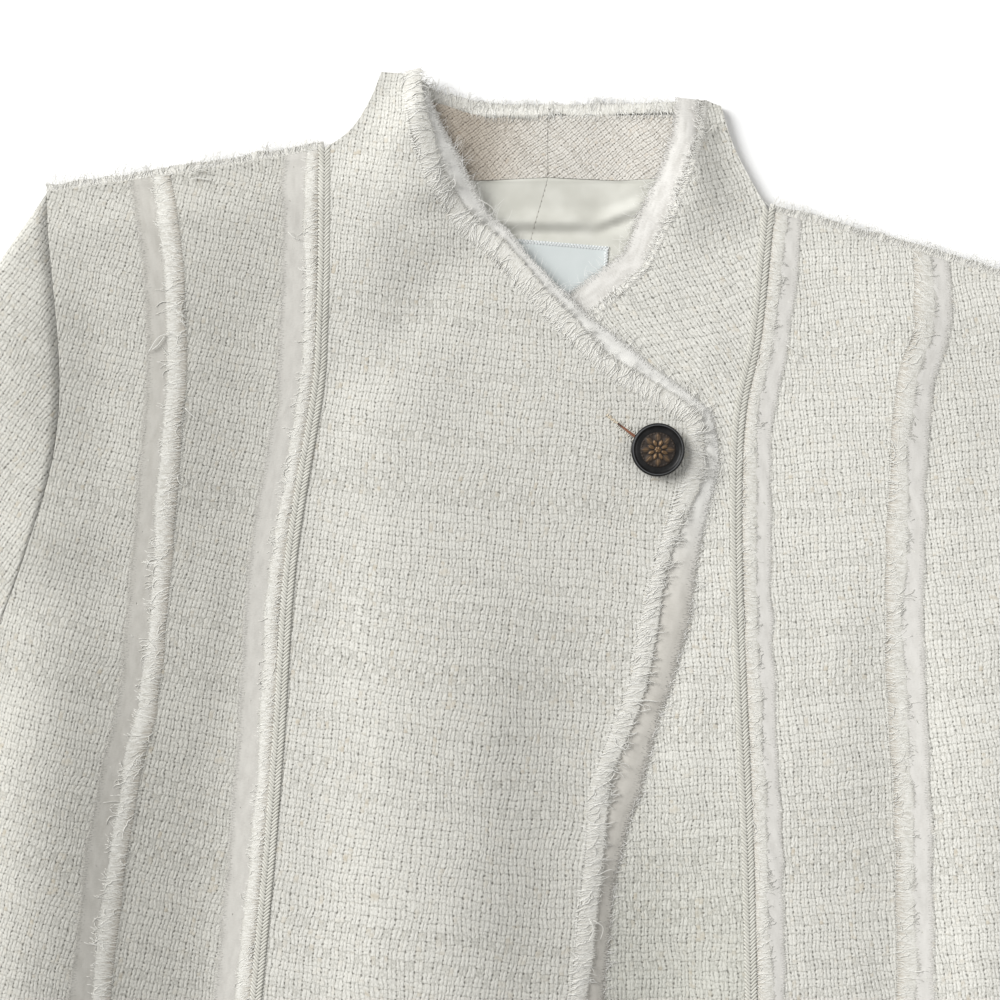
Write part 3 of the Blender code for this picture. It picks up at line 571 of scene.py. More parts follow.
def tube(line, radius, sides, squash):
    """Points and faces of round threads. line is (threads, steps, 3), radius (threads, steps)."""
    threads, steps = line.shape[:2]
    ahead = np.gradient(line, axis=1)
    ahead /= np.linalg.norm(ahead, axis=-1, keepdims=True) + 1e-9
    beside = np.cross(ahead, (0.0, 0.0, 1.0))
    beside /= np.linalg.norm(beside, axis=-1, keepdims=True) + 1e-9
    above = np.cross(beside, ahead) * squash
    turn = 2 * np.pi * (np.arange(sides) + 0.5) / sides
    ring = (line[:, :, None] + radius[:, :, None, None]
            * (np.cos(turn)[:, None] * beside[:, :, None] + np.sin(turn)[:, None] * above[:, :, None]))
    base = (np.arange(threads)[:, None, None] * steps + np.arange(steps - 1)[None, :, None]) * sides
    here = np.arange(sides)
    after = (here + 1) % sides
    walls = np.stack([base + here, base + after, base + sides + after, base + sides + here], -1)
    caps = (np.arange(threads) * steps * sides)[:, None] + here[::-1]
    tips = (np.arange(threads) * steps + steps - 1)[:, None] * sides + here
    return ring.reshape(-1, 3), walls.reshape(-1, 4).tolist() + caps.tolist() + tips.tolist()


def threads_piece(name, line, radius, material, slot, *nodes, sides=4, squash=1.0):
    """Many threads in one piece. Each point knows a chance that all of its thread shares, and
    how far up its side it is, from -1 to 1."""
    points, faces = tube(line, radius, sides, squash)
    threads, steps = line.shape[:2]
    chance = np.random.default_rng(len(name)).random(threads)
    cloth = np.zeros((threads, steps, sides, 3))
    cloth[..., 1] = chance[:, None, None]
    cloth[..., 2] = np.sin(2 * np.pi * (np.arange(sides) + 0.5) / sides)
    piece_of(name, meshed(name, points, faces, material, cloth), slot, *nodes)


def thread_of(name, dull, bright, roughness, side_shade=0.85):
    """A soft thread's material, a little different from thread to thread, with painted shade
    down its sides, where it keeps only the given share of its brightness."""
    material, paint = material_of(name, roughness, Sheen_Weight=0.3)
    chance, up = paint.cloth().part((1, 2))
    fibre = paint.solid().noise(2600.0, 2.0)
    tone = (chance * 0.65 + fibre * 0.35).between(dull, bright)
    # painted shade: the thread's sides darker than its top
    dark = tuple(channel * side_shade for channel in dull[:3]) + (1,)
    paint.surface("Base Color", up.ramp(0.0, 0.75).between(dark, tone))
    paint.bump(0.4, 0.0001, fibre)
    return material


ZIGZAG = 1.3             # length of one stitch to and fro
SWAY = 0.8
sewing = thread_of("sewing_thread", (0.88, 0.90, 0.90, 1), (0.95, 0.96, 0.96, 1), 0.6, side_shade=1.0)
corners = np.array([(-21.0, -53.0), (24.8, -57.0), (23.4, -81.5)])
stitches = []
for start, end in zip(corners, corners[1:]):
    ahead = (end - start) / np.linalg.norm(end - start)
    beside = np.array((-ahead[1], ahead[0]))
    for place in np.arange(0.0, np.linalg.norm(end - start), ZIGZAG):
        for sway, first, last in ((SWAY, 0.0, 0.5 * ZIGZAG), (-SWAY, 0.5 * ZIGZAG, ZIGZAG)):
            a = start + ahead * (place + first) + beside * sway
            b = start + ahead * (place + last) - beside * sway
            flat = a + (b - a) * np.linspace(0, 1, 4)[:, None]
            stitches.append(on(lining_height, flat, 0.56))
stitches = np.array(stitches)
threads_piece("label_stitches", stitches, np.full(stitches.shape[:2], 0.17), sewing, "label")

seam_run = path(LINING_SEAM, 100)
dashes = [on(lining_height, seam_run[k:k + 2], 0.02) for k in range(0, 98, 3)]
facing_run = path([(0, -1), (0, -27)], 36)
dashes += [on(neck_hollow, facing_run[k:k + 2], TWEED + 0.35 + FACING) for k in range(0, 34, 3)]
seam_thread = thread_of("seam_thread", (0.20, 0.18, 0.14, 1), (0.34, 0.31, 0.26, 1), 0.6)
threads_piece("centre_back_stitches", np.array(dashes), np.full((len(dashes), 2), 0.12), seam_thread,
              "satin")


# ------------------------------------------------------------------ side fronts, side panels
# Each front has two long panels beside its centre piece, sewn edge to edge. They lie over
# the back, settle onto it at the shoulder, side seam and hem, and keep the soft ridges and
# hollows in which the jacket was laid down.
EDGE_HEIGHT = 4.4
BODY_HEIGHT = 8.0
RIM = 22.0
HEM_RIM = 70.0
BODY_FOLDS = [
    (-50, -170, -62, -485, 46, 6.5), (-30, -35, -28, -165, 30, -1.6),
    (22, -190, 4, -400, 34, -1.2), (-158, -110, -190, -470, 20, -3.0),
    (-208, -190, -228, -450, 24, 8.5), (-126, -70, -138, -380, 26, 2.0),
    (-62, 16, -46, -46, 15, 5.0), (68, 6, 52, -56, 15, 5.0), (84, -150, 84, -400, 24, 1.6),
    (118, -100, 114, -330, 22, 2.0), (146, -150, 148, -420, 12, -1.6),
    (186, -180, 184, -470, 30, 3.0), (48, -300, 36, -420, 20, -1.8),
]
# softer, smaller waves of the cloth between them
SMALL_FOLDS = [
    (-84, -60, -96, -150, 9, -0.6), (-20, -230, -34, -330, 12, 0.5), (8, -150, 22, -200, 9, 0.4),
    (-138, -180, -150, -260, 7, 0.5), (-196, -60, -186, -150, 8, -0.6), (62, -210, 58, -330, 8, 0.5),
    (108, -190, 112, -300, 7, -0.5), (176, -110, 170, -200, 9, 0.6), (-80, -360, -92, -460, 12, 0.6),
    (196, -300, 190, -420, 9, -0.7), (70, -60, 66, -120, 8, 0.4), (-10, -380, -22, -470, 10, 0.4),
    (-230, -330, -240, -460, 9, 0.7), (120, -380, 118, -480, 10, 0.6), (30, -430, 34, -490, 8, 0.4),
]
# the main folds again, a little deeper than the solids have them
DEEPER = [
    (-46, -190, -56, -470, 40, 3.4), (-20, -260, -30, -480, 25, 2.4), (60, -330, 50, -480, 25, -4.0),
    (-214, -220, -232, -470, 28, 6.0), (-224, -50, -218, -210, 38, 8.5),
    (-190, -230, -205, -480, 20, 4.5), (-56, -18, -104, -96, 13, 1.0), (-34, -54, -88, -124, 15, -2.2),
    (-158, -110, -190, -470, 22, 6.4), (-130, -200, -150, -470, 20, -3.4),
    (-160, -40, -165, -180, 25, 2.8), (-120, -60, -130, -200, 25, -2.4),
    (198, -140, 194, -470, 60, 8.0), (104, -200, 100, -420, 30, 3.0), (60, -180, 50, -300, 25, 1.8),
    (150, -60, 150, -230, 22, 2.6), (160, -300, 160, -470, 22, -3.0),
]
# where the fronts come down to the back: runs of outline, and over what width
CLOSED = [(hem_points, HEM_RIM)]
for side in SIGN:
    CLOSED.append(([*COLLAR_FOLD[side], OUTER_SEAM[side][0], SHOULDER_TIP[side]], RIM))
    CLOSED.append(([UNDERARM[side], HEM_END[side]], RIM))


def lower_height(points):
    """Height of the laid fronts' upper face, without the right front's overlap."""
    inside = np.full(points.shape[:-1], np.inf)
    for run, width in CLOSED:
        for start, end in zip(run, run[1:]):
            inside = np.minimum(inside, distance(points, start, end)[0] / width)
    rise = BODY_HEIGHT - EDGE_HEIGHT + folded(points, BODY_FOLDS + SMALL_FOLDS + DEEPER)
    return EDGE_HEIGHT + smooth(inside) * rise


def upper_height(points):
    """Height of the right front's upper face, raised where it laps over the left one."""
    return lower_height(points) + (TWEED + 1.0) * smooth((points[..., 0] + 100.0) / 35.0)


def over(height, rise):
    """A height function raised by so much."""
    return lambda points: height(points) + rise


def with_rims(count, inset):
    """Shares of the way across, with one close to each end for a rounded edge."""
    inner = np.linspace(0.0, 1.0, count)[1:-1]
    return np.concatenate([[0.0, inset], inner, [1.0 - inset, 1.0]])


def ruled(start, end, columns, inset=0.004):
    """Grid between two edges of equal length, with rims all round."""
    down = with_rims(len(start), inset * 0.4) * (len(start) - 1)
    near, far = (sampled(down, range(len(edge)), edge) for edge in (start, end))
    return spread(near, far, with_rims(columns, inset))


inner_line = {side: path(INNER_SEAM[side], BODY_ROWS * FINE) for side in SIGN}
outer_line = {side: path(OUTER_SEAM[side], BODY_ROWS * FINE) for side in SIGN}
# panel, side, inner and outer edge, columns, middle, lean and fan of the warp
SIDE_PIECES = [
    ("side_front", "right", inner_line, outer_line, 20, (-130, -230), 12.5, -2.0),
    ("side_panel", "right", outer_line, None, 24, (-190, -230), 15.5, -1.5),
    ("side_front", "left", inner_line, outer_line, 20, (112, -230), -4.5, -2.5),
    ("side_panel", "left", outer_line, None, 24, (176, -230), -7.0, -2.0),
]
for name, side, inner, outer, columns, middle, lean, fan in SIDE_PIECES:
    shift = np.array((0.5 * SEAM * SIGN[side], 0.0))
    near = inner[side] + shift
    far = outer[side] - shift if outer else side_edge(side)
    grid = ruled(near, far, columns)
    shell(f"tweed_{name}_{side}", on(lower_height, grid), TWEED,
          shaded_tweed if side == "right" else lit_tweed,
          grain(grid, middle, lean, fan), "tweed", f"{name}_{side}")


# ------------------------------------------------------------------ centre fronts
# Each centre front is cut in one with its half of the funnel collar, whose raw edge runs on
# as the neckline and the front edge. The right one laps over the left, and its corner stands
# out to a blunt point beside the button.
COLLAR_ROWS = 3
NECKLINE_ROWS = 9
FRONT_ROWS = 19
RAW_EDGE = {
    "right": ([(-61, 16), (-59, 1), (-57, -11), (-52, -26)],
              [(-52, -26), (-45, -38), (-36, -51), (-22, -63), (0, -87), (23, -109), (47, -124),
               (59, -131)],
              [(59, -131), (59, -146), (53, -163), (45, -188), (38, -219), (34, -240), (19, -281),
               (15, -320), (12, -344), (-2, -498)]),
    "left": ([(67, 5), (65, -12), (61, -24), (57, -35)],
             [(57, -35), (51, -48), (42, -66), (34, -74), (22, -84), (0, -98), (-30, -115),
              (-61, -131)],
             [(-61, -131), (-62, -155), (-62, -205), (-54, -260), (-49, -343), (-50, -501)]),
}
HEIGHT = {"right": upper_height, "left": lower_height}
raw_line = {}
for side in ("left", "right"):
    collar, neckline, front = RAW_EDGE[side]
    raw_line[side] = joined(path(collar, COLLAR_ROWS * FINE), path(neckline, NECKLINE_ROWS * FINE),
                            path(front, FRONT_ROWS * FINE))
    seam_line = joined(path(COLLAR_FOLD[side], COLLAR_ROWS * FINE), inner_line[side])
    near = seam_line - (0.5 * SEAM * SIGN[side], 0.0)
    grid = ruled(near, raw_line[side], 50, 0.0025)
    if side == "right":
        weave = grain(grid, (-40, -150), 6.5, -3.5)
    else:
        # the left collar's side is pulled out of line, its weft rising to the right
        weave = grain(grid, (50, -250), -2.0, -3.0)
        pull = smooth((grid[..., 1] + 175.0) / 120.0)
        turned = grain(grid, (50, -250), -17.0)
        weave = weave * (1.0 - pull[..., None]) + turned * pull[..., None]
        # painted shade: the left front darker towards the hem
        weave[..., 2] = 0.6 * smooth((-grid[..., 1] - 230.0) / 150.0)
    shell(f"tweed_front_{side}", on(HEIGHT[side], grid), TWEED,
          tweed if side == "right" else lit_tweed, weave, "tweed",
          f"front_{side}", on=("back",) if side == "left" else ("back", "front_left"))


# ------------------------------------------------------------------ sleeves
# The sleeves are long, plain two-layer tubes of the same tweed, laid flat beside the body
# with a few soft creases at the elbow and cuff.
SLEEVE_LENGTH = 575.0
CUFF_WIDTH = 132.0
SLEEVE_ANGLE = {"right": 34.0, "left": 28.0}
SLEEVE_HEIGHT = 7.4
SLEEVE_SECTIONS = 56
FOLD_HEIGHT = EDGE_HEIGHT - 0.4
FOLD_MIDDLE = EDGE_HEIGHT / 2    # height of the line round which the two folded edges turn
WELT = 1.3 * TWEED               # how far the inner layer stays from a folded edge
SLEEVE_FOLDS = {
    "right": [(-262, -190, -330, -330, 20, 3.0), (-330, -300, -400, -300, 14, 2.2),
              (-400, -400, -420, -560, 18, 2.4), (-300, -170, -350, -240, 9, 0.8),
              (-340, -330, -420, -345, 7, -0.8), (-450, -430, -480, -500, 9, 0.8)],
    "left": [(252, -190, 300, -340, 20, 3.0), (290, -330, 350, -300, 14, 2.2),
             (352, -420, 366, -590, 18, 2.4), (300, -190, 340, -260, 9, 0.8),
             (310, -360, 380, -345, 7, -0.8), (400, -430, 430, -520, 9, 0.8)],
}
across = np.concatenate([[0.0, 0.003, 0.01, 0.022, 0.04], np.linspace(0.07, 0.93, 40),
                         [0.96, 0.978, 0.99, 0.997, 1.0]])
crown = 1.0 - np.abs(2.0 * across - 1.0) ** 5
corner = np.clip(np.minimum(across, 1.0 - across) / 0.03, 0.0, 1.0)
corner = np.sqrt(1.0 - (1.0 - corner) ** 2)
count = 2 * len(across) - 2
rings = np.arange((SLEEVE_SECTIONS + 1) * 2 * count).reshape(SLEEVE_SECTIONS + 1, 2, count)
after = np.roll(rings, -1, axis=2)
SLEEVE_QUADS = [
    (rings[:-1, 0], after[:-1, 0], after[1:, 0], rings[1:, 0]),      # outer layer
    (rings[1:, 1], after[1:, 1], after[:-1, 1], rings[:-1, 1]),      # inner layer
    (rings[0, 1], after[0, 1], after[0, 0], rings[0, 0]),            # rim at the armhole
    (rings[-1, 0], after[-1, 0], after[-1, 1], rings[-1, 1]),        # rim at the cuff
]
for side, sign in SIGN.items():
    angle = math.radians(SLEEVE_ANGLE[side])
    down = np.array((sign * math.sin(angle), -math.cos(angle)))
    inward = np.array((-sign * math.cos(angle), -math.sin(angle)))
    cuff_outer = SHOULDER_TIP[side] + down * SLEEVE_LENGTH
    hang = path([SHOULDER_TIP[side], ARMHOLE_BOW[side], UNDERARM[side]], ARMHOLE_ROWS)
    hang = hang + (sign * SEAM, 0.0)
    cuff = path([cuff_outer, cuff_outer + inward * CUFF_WIDTH], ARMHOLE_ROWS)
    steps = np.linspace(0.0, 1.0, ARMHOLE_ROWS + 1)
    loops, weaves = [], []
    for share in np.arange(SLEEVE_SECTIONS + 1) / SLEEVE_SECTIONS:
        line = hang * (1.0 - share) + cuff * share
        width = np.linalg.norm(line[-1] - line[0])
        # past the armhole the body's height ends before the sleeve's lower fold
        fall = smooth(share * 20.0) * (1.0 - crown) * (across > 0.5)
        blend = smooth(share * 4.0)
        for places, skin in ((across, 0.0), (np.clip(across, WELT / width, 1.0 - WELT / width), TWEED)):
            flat = sampled(places, steps, line)
            plain = FOLD_HEIGHT + crown * (SLEEVE_HEIGHT - FOLD_HEIGHT)
            plain += crown * folded(flat, SLEEVE_FOLDS[side])
            head = lower_height(flat)
            head -= fall * (head - FOLD_HEIGHT)
            high = head * (1.0 - blend) + plain * blend - skin
            if skin:
                high = np.maximum(high, FOLD_MIDDLE + 0.1)
                under = np.full(len(flat), skin)
            else:
                high = np.maximum(FOLD_MIDDLE + (high - FOLD_MIDDLE) * corner, FOLD_MIDDLE)
                under = FOLD_MIDDLE * (1.0 - corner)
            loops += [raised(flat, high), raised(flat, under)[-2:0:-1]]
            weaves += [flat, flat[-2:0:-1]]
    faces = np.vstack([np.stack([part.ravel() for part in quad], axis=1) for quad in SLEEVE_QUADS])
    if side == "right":
        faces = faces[:, ::-1]
    weave = grain(np.vstack(weaves), cuff_outer, -sign * SLEEVE_ANGLE[side])
    mesh = meshed(f"tweed_sleeve_{side}", np.vstack(loops), faces,
                  shaded_tweed if side == "right" else lit_tweed, weave)
    piece = piece_of(f"tweed_sleeve_{side}", mesh, "tweed", f"sleeve_{side}")


# ------------------------------------------------------------------ chiffon strips
# Strips of matt silk chiffon peep out from under every raw edge: the collar, neckline and
# front, and both seams of each side front. Their own edges are torn and fray into fine hairs.
CHIFFON_LIFT = 0.35


def chiffon_of(name, dull, light, shaded_stretch=None):
    """Matt chiffon, crumpled and gauzy, that thins out in threads at its torn edge. The last
    argument, if given, is the stretch of its length over which painted shade greys it; such a
    strip is also lighter along its inner half, painted light where the fringe's shadow falls."""
    material, paint = material_of(name, 0.8, Sheen_Weight=0.2, Specular_IOR_Level=0.2)
    place = paint.cloth()
    along, to_edge = place.part((1, 2))
    crumple = place.stretched(1.0, 0.35, 0.0).noise(0.35, 3.0)
    gauze = place.stretched(0.5, 1.9, 0.0).noise(1.3, 3.0)
    colour = (crumple * 0.7 + gauze * 0.5).ramp(0.3, 0.8).between(dull, light)
    if shaded_stretch:
        # painted shade: greyer over the given stretch of the strip's length
        colour = colour.times(along.ramp(*shaded_stretch).between((1, 1, 1, 1), (0.70, 0.68, 0.65, 1)))
        # painted light under the fringe: the strip's outer part darker than its inner half
        colour = colour.times(to_edge.ramp(0.5, 0.8).between((1, 1, 1, 1), (0.86, 0.86, 0.86, 1)))
    paint.surface("Base Color", colour)
    torn = (to_edge + gauze * 0.8 - 0.4).ramp(0.80, 1.06)
    paint.surface("Alpha", 0.97 - torn * 0.95)
    paint.bump(0.3, 0.0005, crumple + gauze * 0.3)
    return material


chiffon = chiffon_of("silk_chiffon", (0.47, 0.455, 0.42, 1), (0.56, 0.545, 0.505, 1))
# a darker copy for the right side's outer strip: painted shade
shaded_chiffon = chiffon_of("shaded_chiffon", (0.42, 0.405, 0.365, 1), (0.50, 0.485, 0.445, 1))
# a lighter copy for the left side's strips: painted light
lit_chiffon = chiffon_of("lit_chiffon", (0.55, 0.535, 0.50, 1), (0.65, 0.635, 0.60, 1))
neck_chiffon = chiffon_of("neck_chiffon", (0.50, 0.485, 0.45, 1), (0.70, 0.685, 0.65, 1))
# the front edge's chiffon, with painted light under the fringe and painted shade lower down
lit_and_shaded_chiffon = chiffon_of("lit_and_shaded_chiffon", (0.72, 0.71, 0.67, 1), (0.87, 0.86, 0.82, 1),
                            (235.0, 300.0))
hair = thread_of("chiffon_hair", (0.76, 0.75, 0.72, 1), (0.90, 0.89, 0.86, 1), 0.8, side_shade=0.95)


def normals(edge, side):
    """Directions in the plane, square to an edge and away from its cloth."""
    along = np.gradient(edge, axis=0)
    along /= np.linalg.norm(along, axis=1)[:, None]
    return side * np.column_stack([-along[:, 1], along[:, 0]])


def wavering(count, knots, amount, seed):
    """A smooth run of uneven values round zero."""
    values = np.random.default_rng(seed).normal(0.0, amount, knots)
    return np.interp(np.linspace(0, knots - 1, count), range(knots), values)


def even_steps(line, spacing, *others):
    """A run of points again at even spacing, with other values carried along."""
    run = lengths(line)
    steps = np.arange(0.0, run[-1], spacing)
    return [sampled(steps, run, part) for part in (line, *others)]


def toward(angle):
    return np.stack([np.cos(angle), np.sin(angle)], axis=-1)


def fray(name, edge, away, height, length, density, seed, radius, slant=0.25):
    """Fine hairs that stand out of a torn edge, mostly slanting one way."""
    rng = np.random.default_rng(seed)
    edge, away = even_steps(edge, 1.0 / density, away)
    count = len(edge)
    turn = rng.normal(slant, 0.5, count)
    turn += wavering(count, max(4, count // 9), 0.4, seed + 1)
    reach = length * rng.uniform(0.35, 1.2, count)
    reach *= 1.0 + wavering(count, max(4, count // 14), 0.22, seed + 2)
    steps = np.linspace(0.0, 1.0, 4)
    bend = rng.normal(0.0, 0.5, count)
    angle = np.arctan2(away[:, 1], away[:, 0])[:, None] + turn[:, None] + bend[:, None] * steps
    flat = edge[:, None] + np.cumsum(toward(angle) * (reach / 3)[:, None, None], axis=1)
    inside = away[:, None] * rng.uniform(0.0, 0.7, count)[:, None, None] * length
    flat -= (flat[:, :1] - edge[:, None]) + inside
    lift = 0.06 + rng.uniform(0.0, 0.35, count)[:, None] * steps ** 2
    width = radius * rng.uniform(0.7, 1.4, count)[:, None] * (1.0 - 0.6 * steps)
    threads_piece(name, on(height, flat, lift), width, hair, "chiffon")


def strip(name, near, far, height, seed, under, material, fall):
    """One strip of chiffon between two lines, crumpled, with its outer edge uneven and lower."""
    across = np.linspace(0.0, 1.0, 11)
    far = far + normals(far, 1.0) * wavering(len(far), len(far) // 4, 0.45, seed)[:, None]
    grid = spread(near, far, across)
    rumple = np.sin(grid[..., 1] * 0.9 + np.sin(grid[..., 0] * 0.5) * 2.0) * 0.10
    rumple += np.sin(grid[..., 1] * 0.37 + grid[..., 0] * 0.61 + seed) * 0.16
    rumple *= np.sin(np.pi * np.linspace(0.02, 1, 11))
    rumple -= fall * across ** 1.5
    width = np.linalg.norm(far - near, axis=1).mean() * 0.001
    length = np.linalg.norm(np.diff(far, axis=0), axis=1).sum() * 0.001
    down = np.linspace(0, length * 1000, len(near))[:, None]
    cloth = np.stack(np.broadcast_arrays(across * width * 1000.0, down, across), axis=-1)
    shell(f"chiffon_strip_{name}", on(height, grid, rumple), 0.3, material, cloth, "chiffon",
          f"chiffon_{name}", flat=(round(width, 4), round(length, 4)), on=(under,))
    return far


# how far from its seam each strip starts and ends, and its silk
SEAM_STRIPS = {
    "right": {"inner": (4.3, 18.4, chiffon), "outer": (2.4, 17.4, shaded_chiffon)},
    "left": {"inner": (4.3, 15.0, lit_chiffon), "outer": (2.4, 16.4, lit_chiffon)},
}
SEAM_SHIFT = 0.15
strip_edges = {}
for side in SIGN:
    lines = inner_line[side], outer_line[side], side_edge(side)
    for seed, (name, (start, reach, silk)) in enumerate(SEAM_STRIPS[side].items()):
        seam_line, beyond = lines[seed:seed + 2]
        ahead = beyond - seam_line
        ahead /= np.linalg.norm(ahead, axis=1)[:, None]
        near = seam_line + ahead * (SEAM_SHIFT + start)
        far = seam_line + ahead * (SEAM_SHIFT + reach)
        under = ("side_front_" if name == "inner" else "side_panel_") + side
        far = strip(f"{name}_{side}", near, far, over(lower_height, CHIFFON_LIFT),
                    3 + 7 * seed + (side == "left"), under, silk, fall=0.3)
        strip_edges[name, side] = (seam_line, ahead)
        fray(f"chiffon_hairs_{name}_{side}", far, ahead, over(lower_height, 0.02), 3.0, 0.5,
             20 + seed, radius=0.06)

# (row of the edge, how far the chiffon stands out of it)
EDGE_CHIFFON = [(0, 7), (2, 15), (3, 17), (5, 14), (7, 12), (9, 15), (10, 16), (11, 13), (12, 11.5),
                (13, 14.5), (15, 18.5), (16, 21.5), (18, 18), (20, 21.5), (22, 14.5), (31, 15)]
NECK_KEPT = (COLLAR_ROWS + 4) * FINE + 1      # points of the left raw edge that show
raw_away = {side: normals(raw_line[side], -SIGN[side]) for side in SIGN}
for side in SIGN:
    raw, away = raw_line[side], raw_away[side]
    if side == "right":
        name, under, silk = "edge_right", "front_left", lit_and_shaded_chiffon
        height, fall = over(upper_height, -0.9), 1.9
        widths = np.interp(np.arange(len(raw)) / FINE, *zip(*EDGE_CHIFFON))
    else:
        name, under, silk = "neck_left", "lining_left", neck_chiffon
        height, fall = over(lower_height, -1.2), 1.6
        raw, away, widths = raw[:NECK_KEPT], away[:NECK_KEPT], np.full(NECK_KEPT, 14.0)
    far = strip(name, raw + away * 0.3, raw + away * widths[:, None], height,
                31 + (side == "left"), under, silk, fall)
    fray(f"chiffon_hairs_{name}", far, away, over(height, 0.1 - fall), 6.0, 2.0, 41, radius=0.085,
         slant=0.6)


# ------------------------------------------------------------------ fringes
# At every raw edge the warp has been pulled out of the tweed and the crimped weft yarns are
# left as a dense fringe. They lie outwards over the chiffon, cling in locks and curl over.
fringe_yarn = thread_of("loose_yarn", (0.66, 0.65, 0.60, 1), (0.79, 0.78, 0.735, 1), 0.85,
                        side_shade=0.95)


def matted_of(name, root, dull, light):
    """Yarns matted like felt, with broken edges and a painted shade at their root."""
    material, paint = material_of(name, 0.85, Sheen_Weight=0.25, Specular_IOR_Level=0.2)
    place = paint.cloth()
    off, run, share = place.part((0, 1, 2))
    streak = (off * 0.28).with_y(run * 1.35 + place.noise(0.45, 2.0) * 3.0).noise(1.0, 3.0)
    felt = place.stretched(1.0, 1.0, 0.0).noise(1.5, 3.0)
    tone = (streak * 0.8 + felt * 0.35 - 0.07).ramp(0.30, 0.66).between(dull, light)
    broken = streak * 0.75 + felt * 0.35 - 0.55
    # painted shade: the root colour at the root, fading to the felt's tone
    paint.surface("Base Color", (share + broken * 0.6).ramp(0.02, 0.62).between(root, tone))
    kept_out = 1.0 - (share + broken * 0.6).ramp(0.80, 0.92)
    kept_in = (share + broken * 0.5).ramp(0.0, 0.18)
    paint.surface("Alpha", kept_out * kept_in)
    paint.bump(0.6, 0.0005, streak + felt * 0.5)
    return material


# the single yarns' and the matted ones' materials
# the first colour of each matted material is the painted shade at the root
SEAM_YARN = (fringe_yarn,
             matted_of("matted_yarn", (0.47, 0.435, 0.375, 1), (0.50, 0.485, 0.435, 1),
                       (0.70, 0.69, 0.645, 1)))
EDGE_YARN = (thread_of("bright_yarn", (0.69, 0.68, 0.635, 1), (0.80, 0.79, 0.75, 1), 0.85,
                       side_shade=0.86),
             matted_of("bright_matted_yarn", (0.54, 0.525, 0.475, 1), (0.52, 0.505, 0.455, 1),
                       (0.72, 0.71, 0.665, 1)))
LOCK = 2.6               # how wide a stretch of the yarns clings together


def felted(name, root, out, surface, inset, reach, seed, bed):
    """The lower yarns of a fringe, matted so close that they lie like felt, in one strip."""
    count = len(root)
    reach = reach * (1.0 + wavering(count, max(4, count // 6), 0.10, seed))
    inset = inset * (1.0 + wavering(count, max(4, count // 4), 0.30, seed + 1))
    share = np.linspace(0.0, 1.0, 11)
    off = share * (reach + inset)[:, None] - inset[:, None]
    flat = root[:, None] + out[:, None] * off[..., None]
    top = surface(flat, share) + 0.22 * np.sin(np.pi * share)
    cloth = np.stack(np.broadcast_arrays(off, lengths(root)[:, None], share), axis=-1)
    shell(f"fringe_felt_{name}", raised(flat, top), 0.3, bed, cloth, "yarn", f"fringe_{name}",
          flat=False)


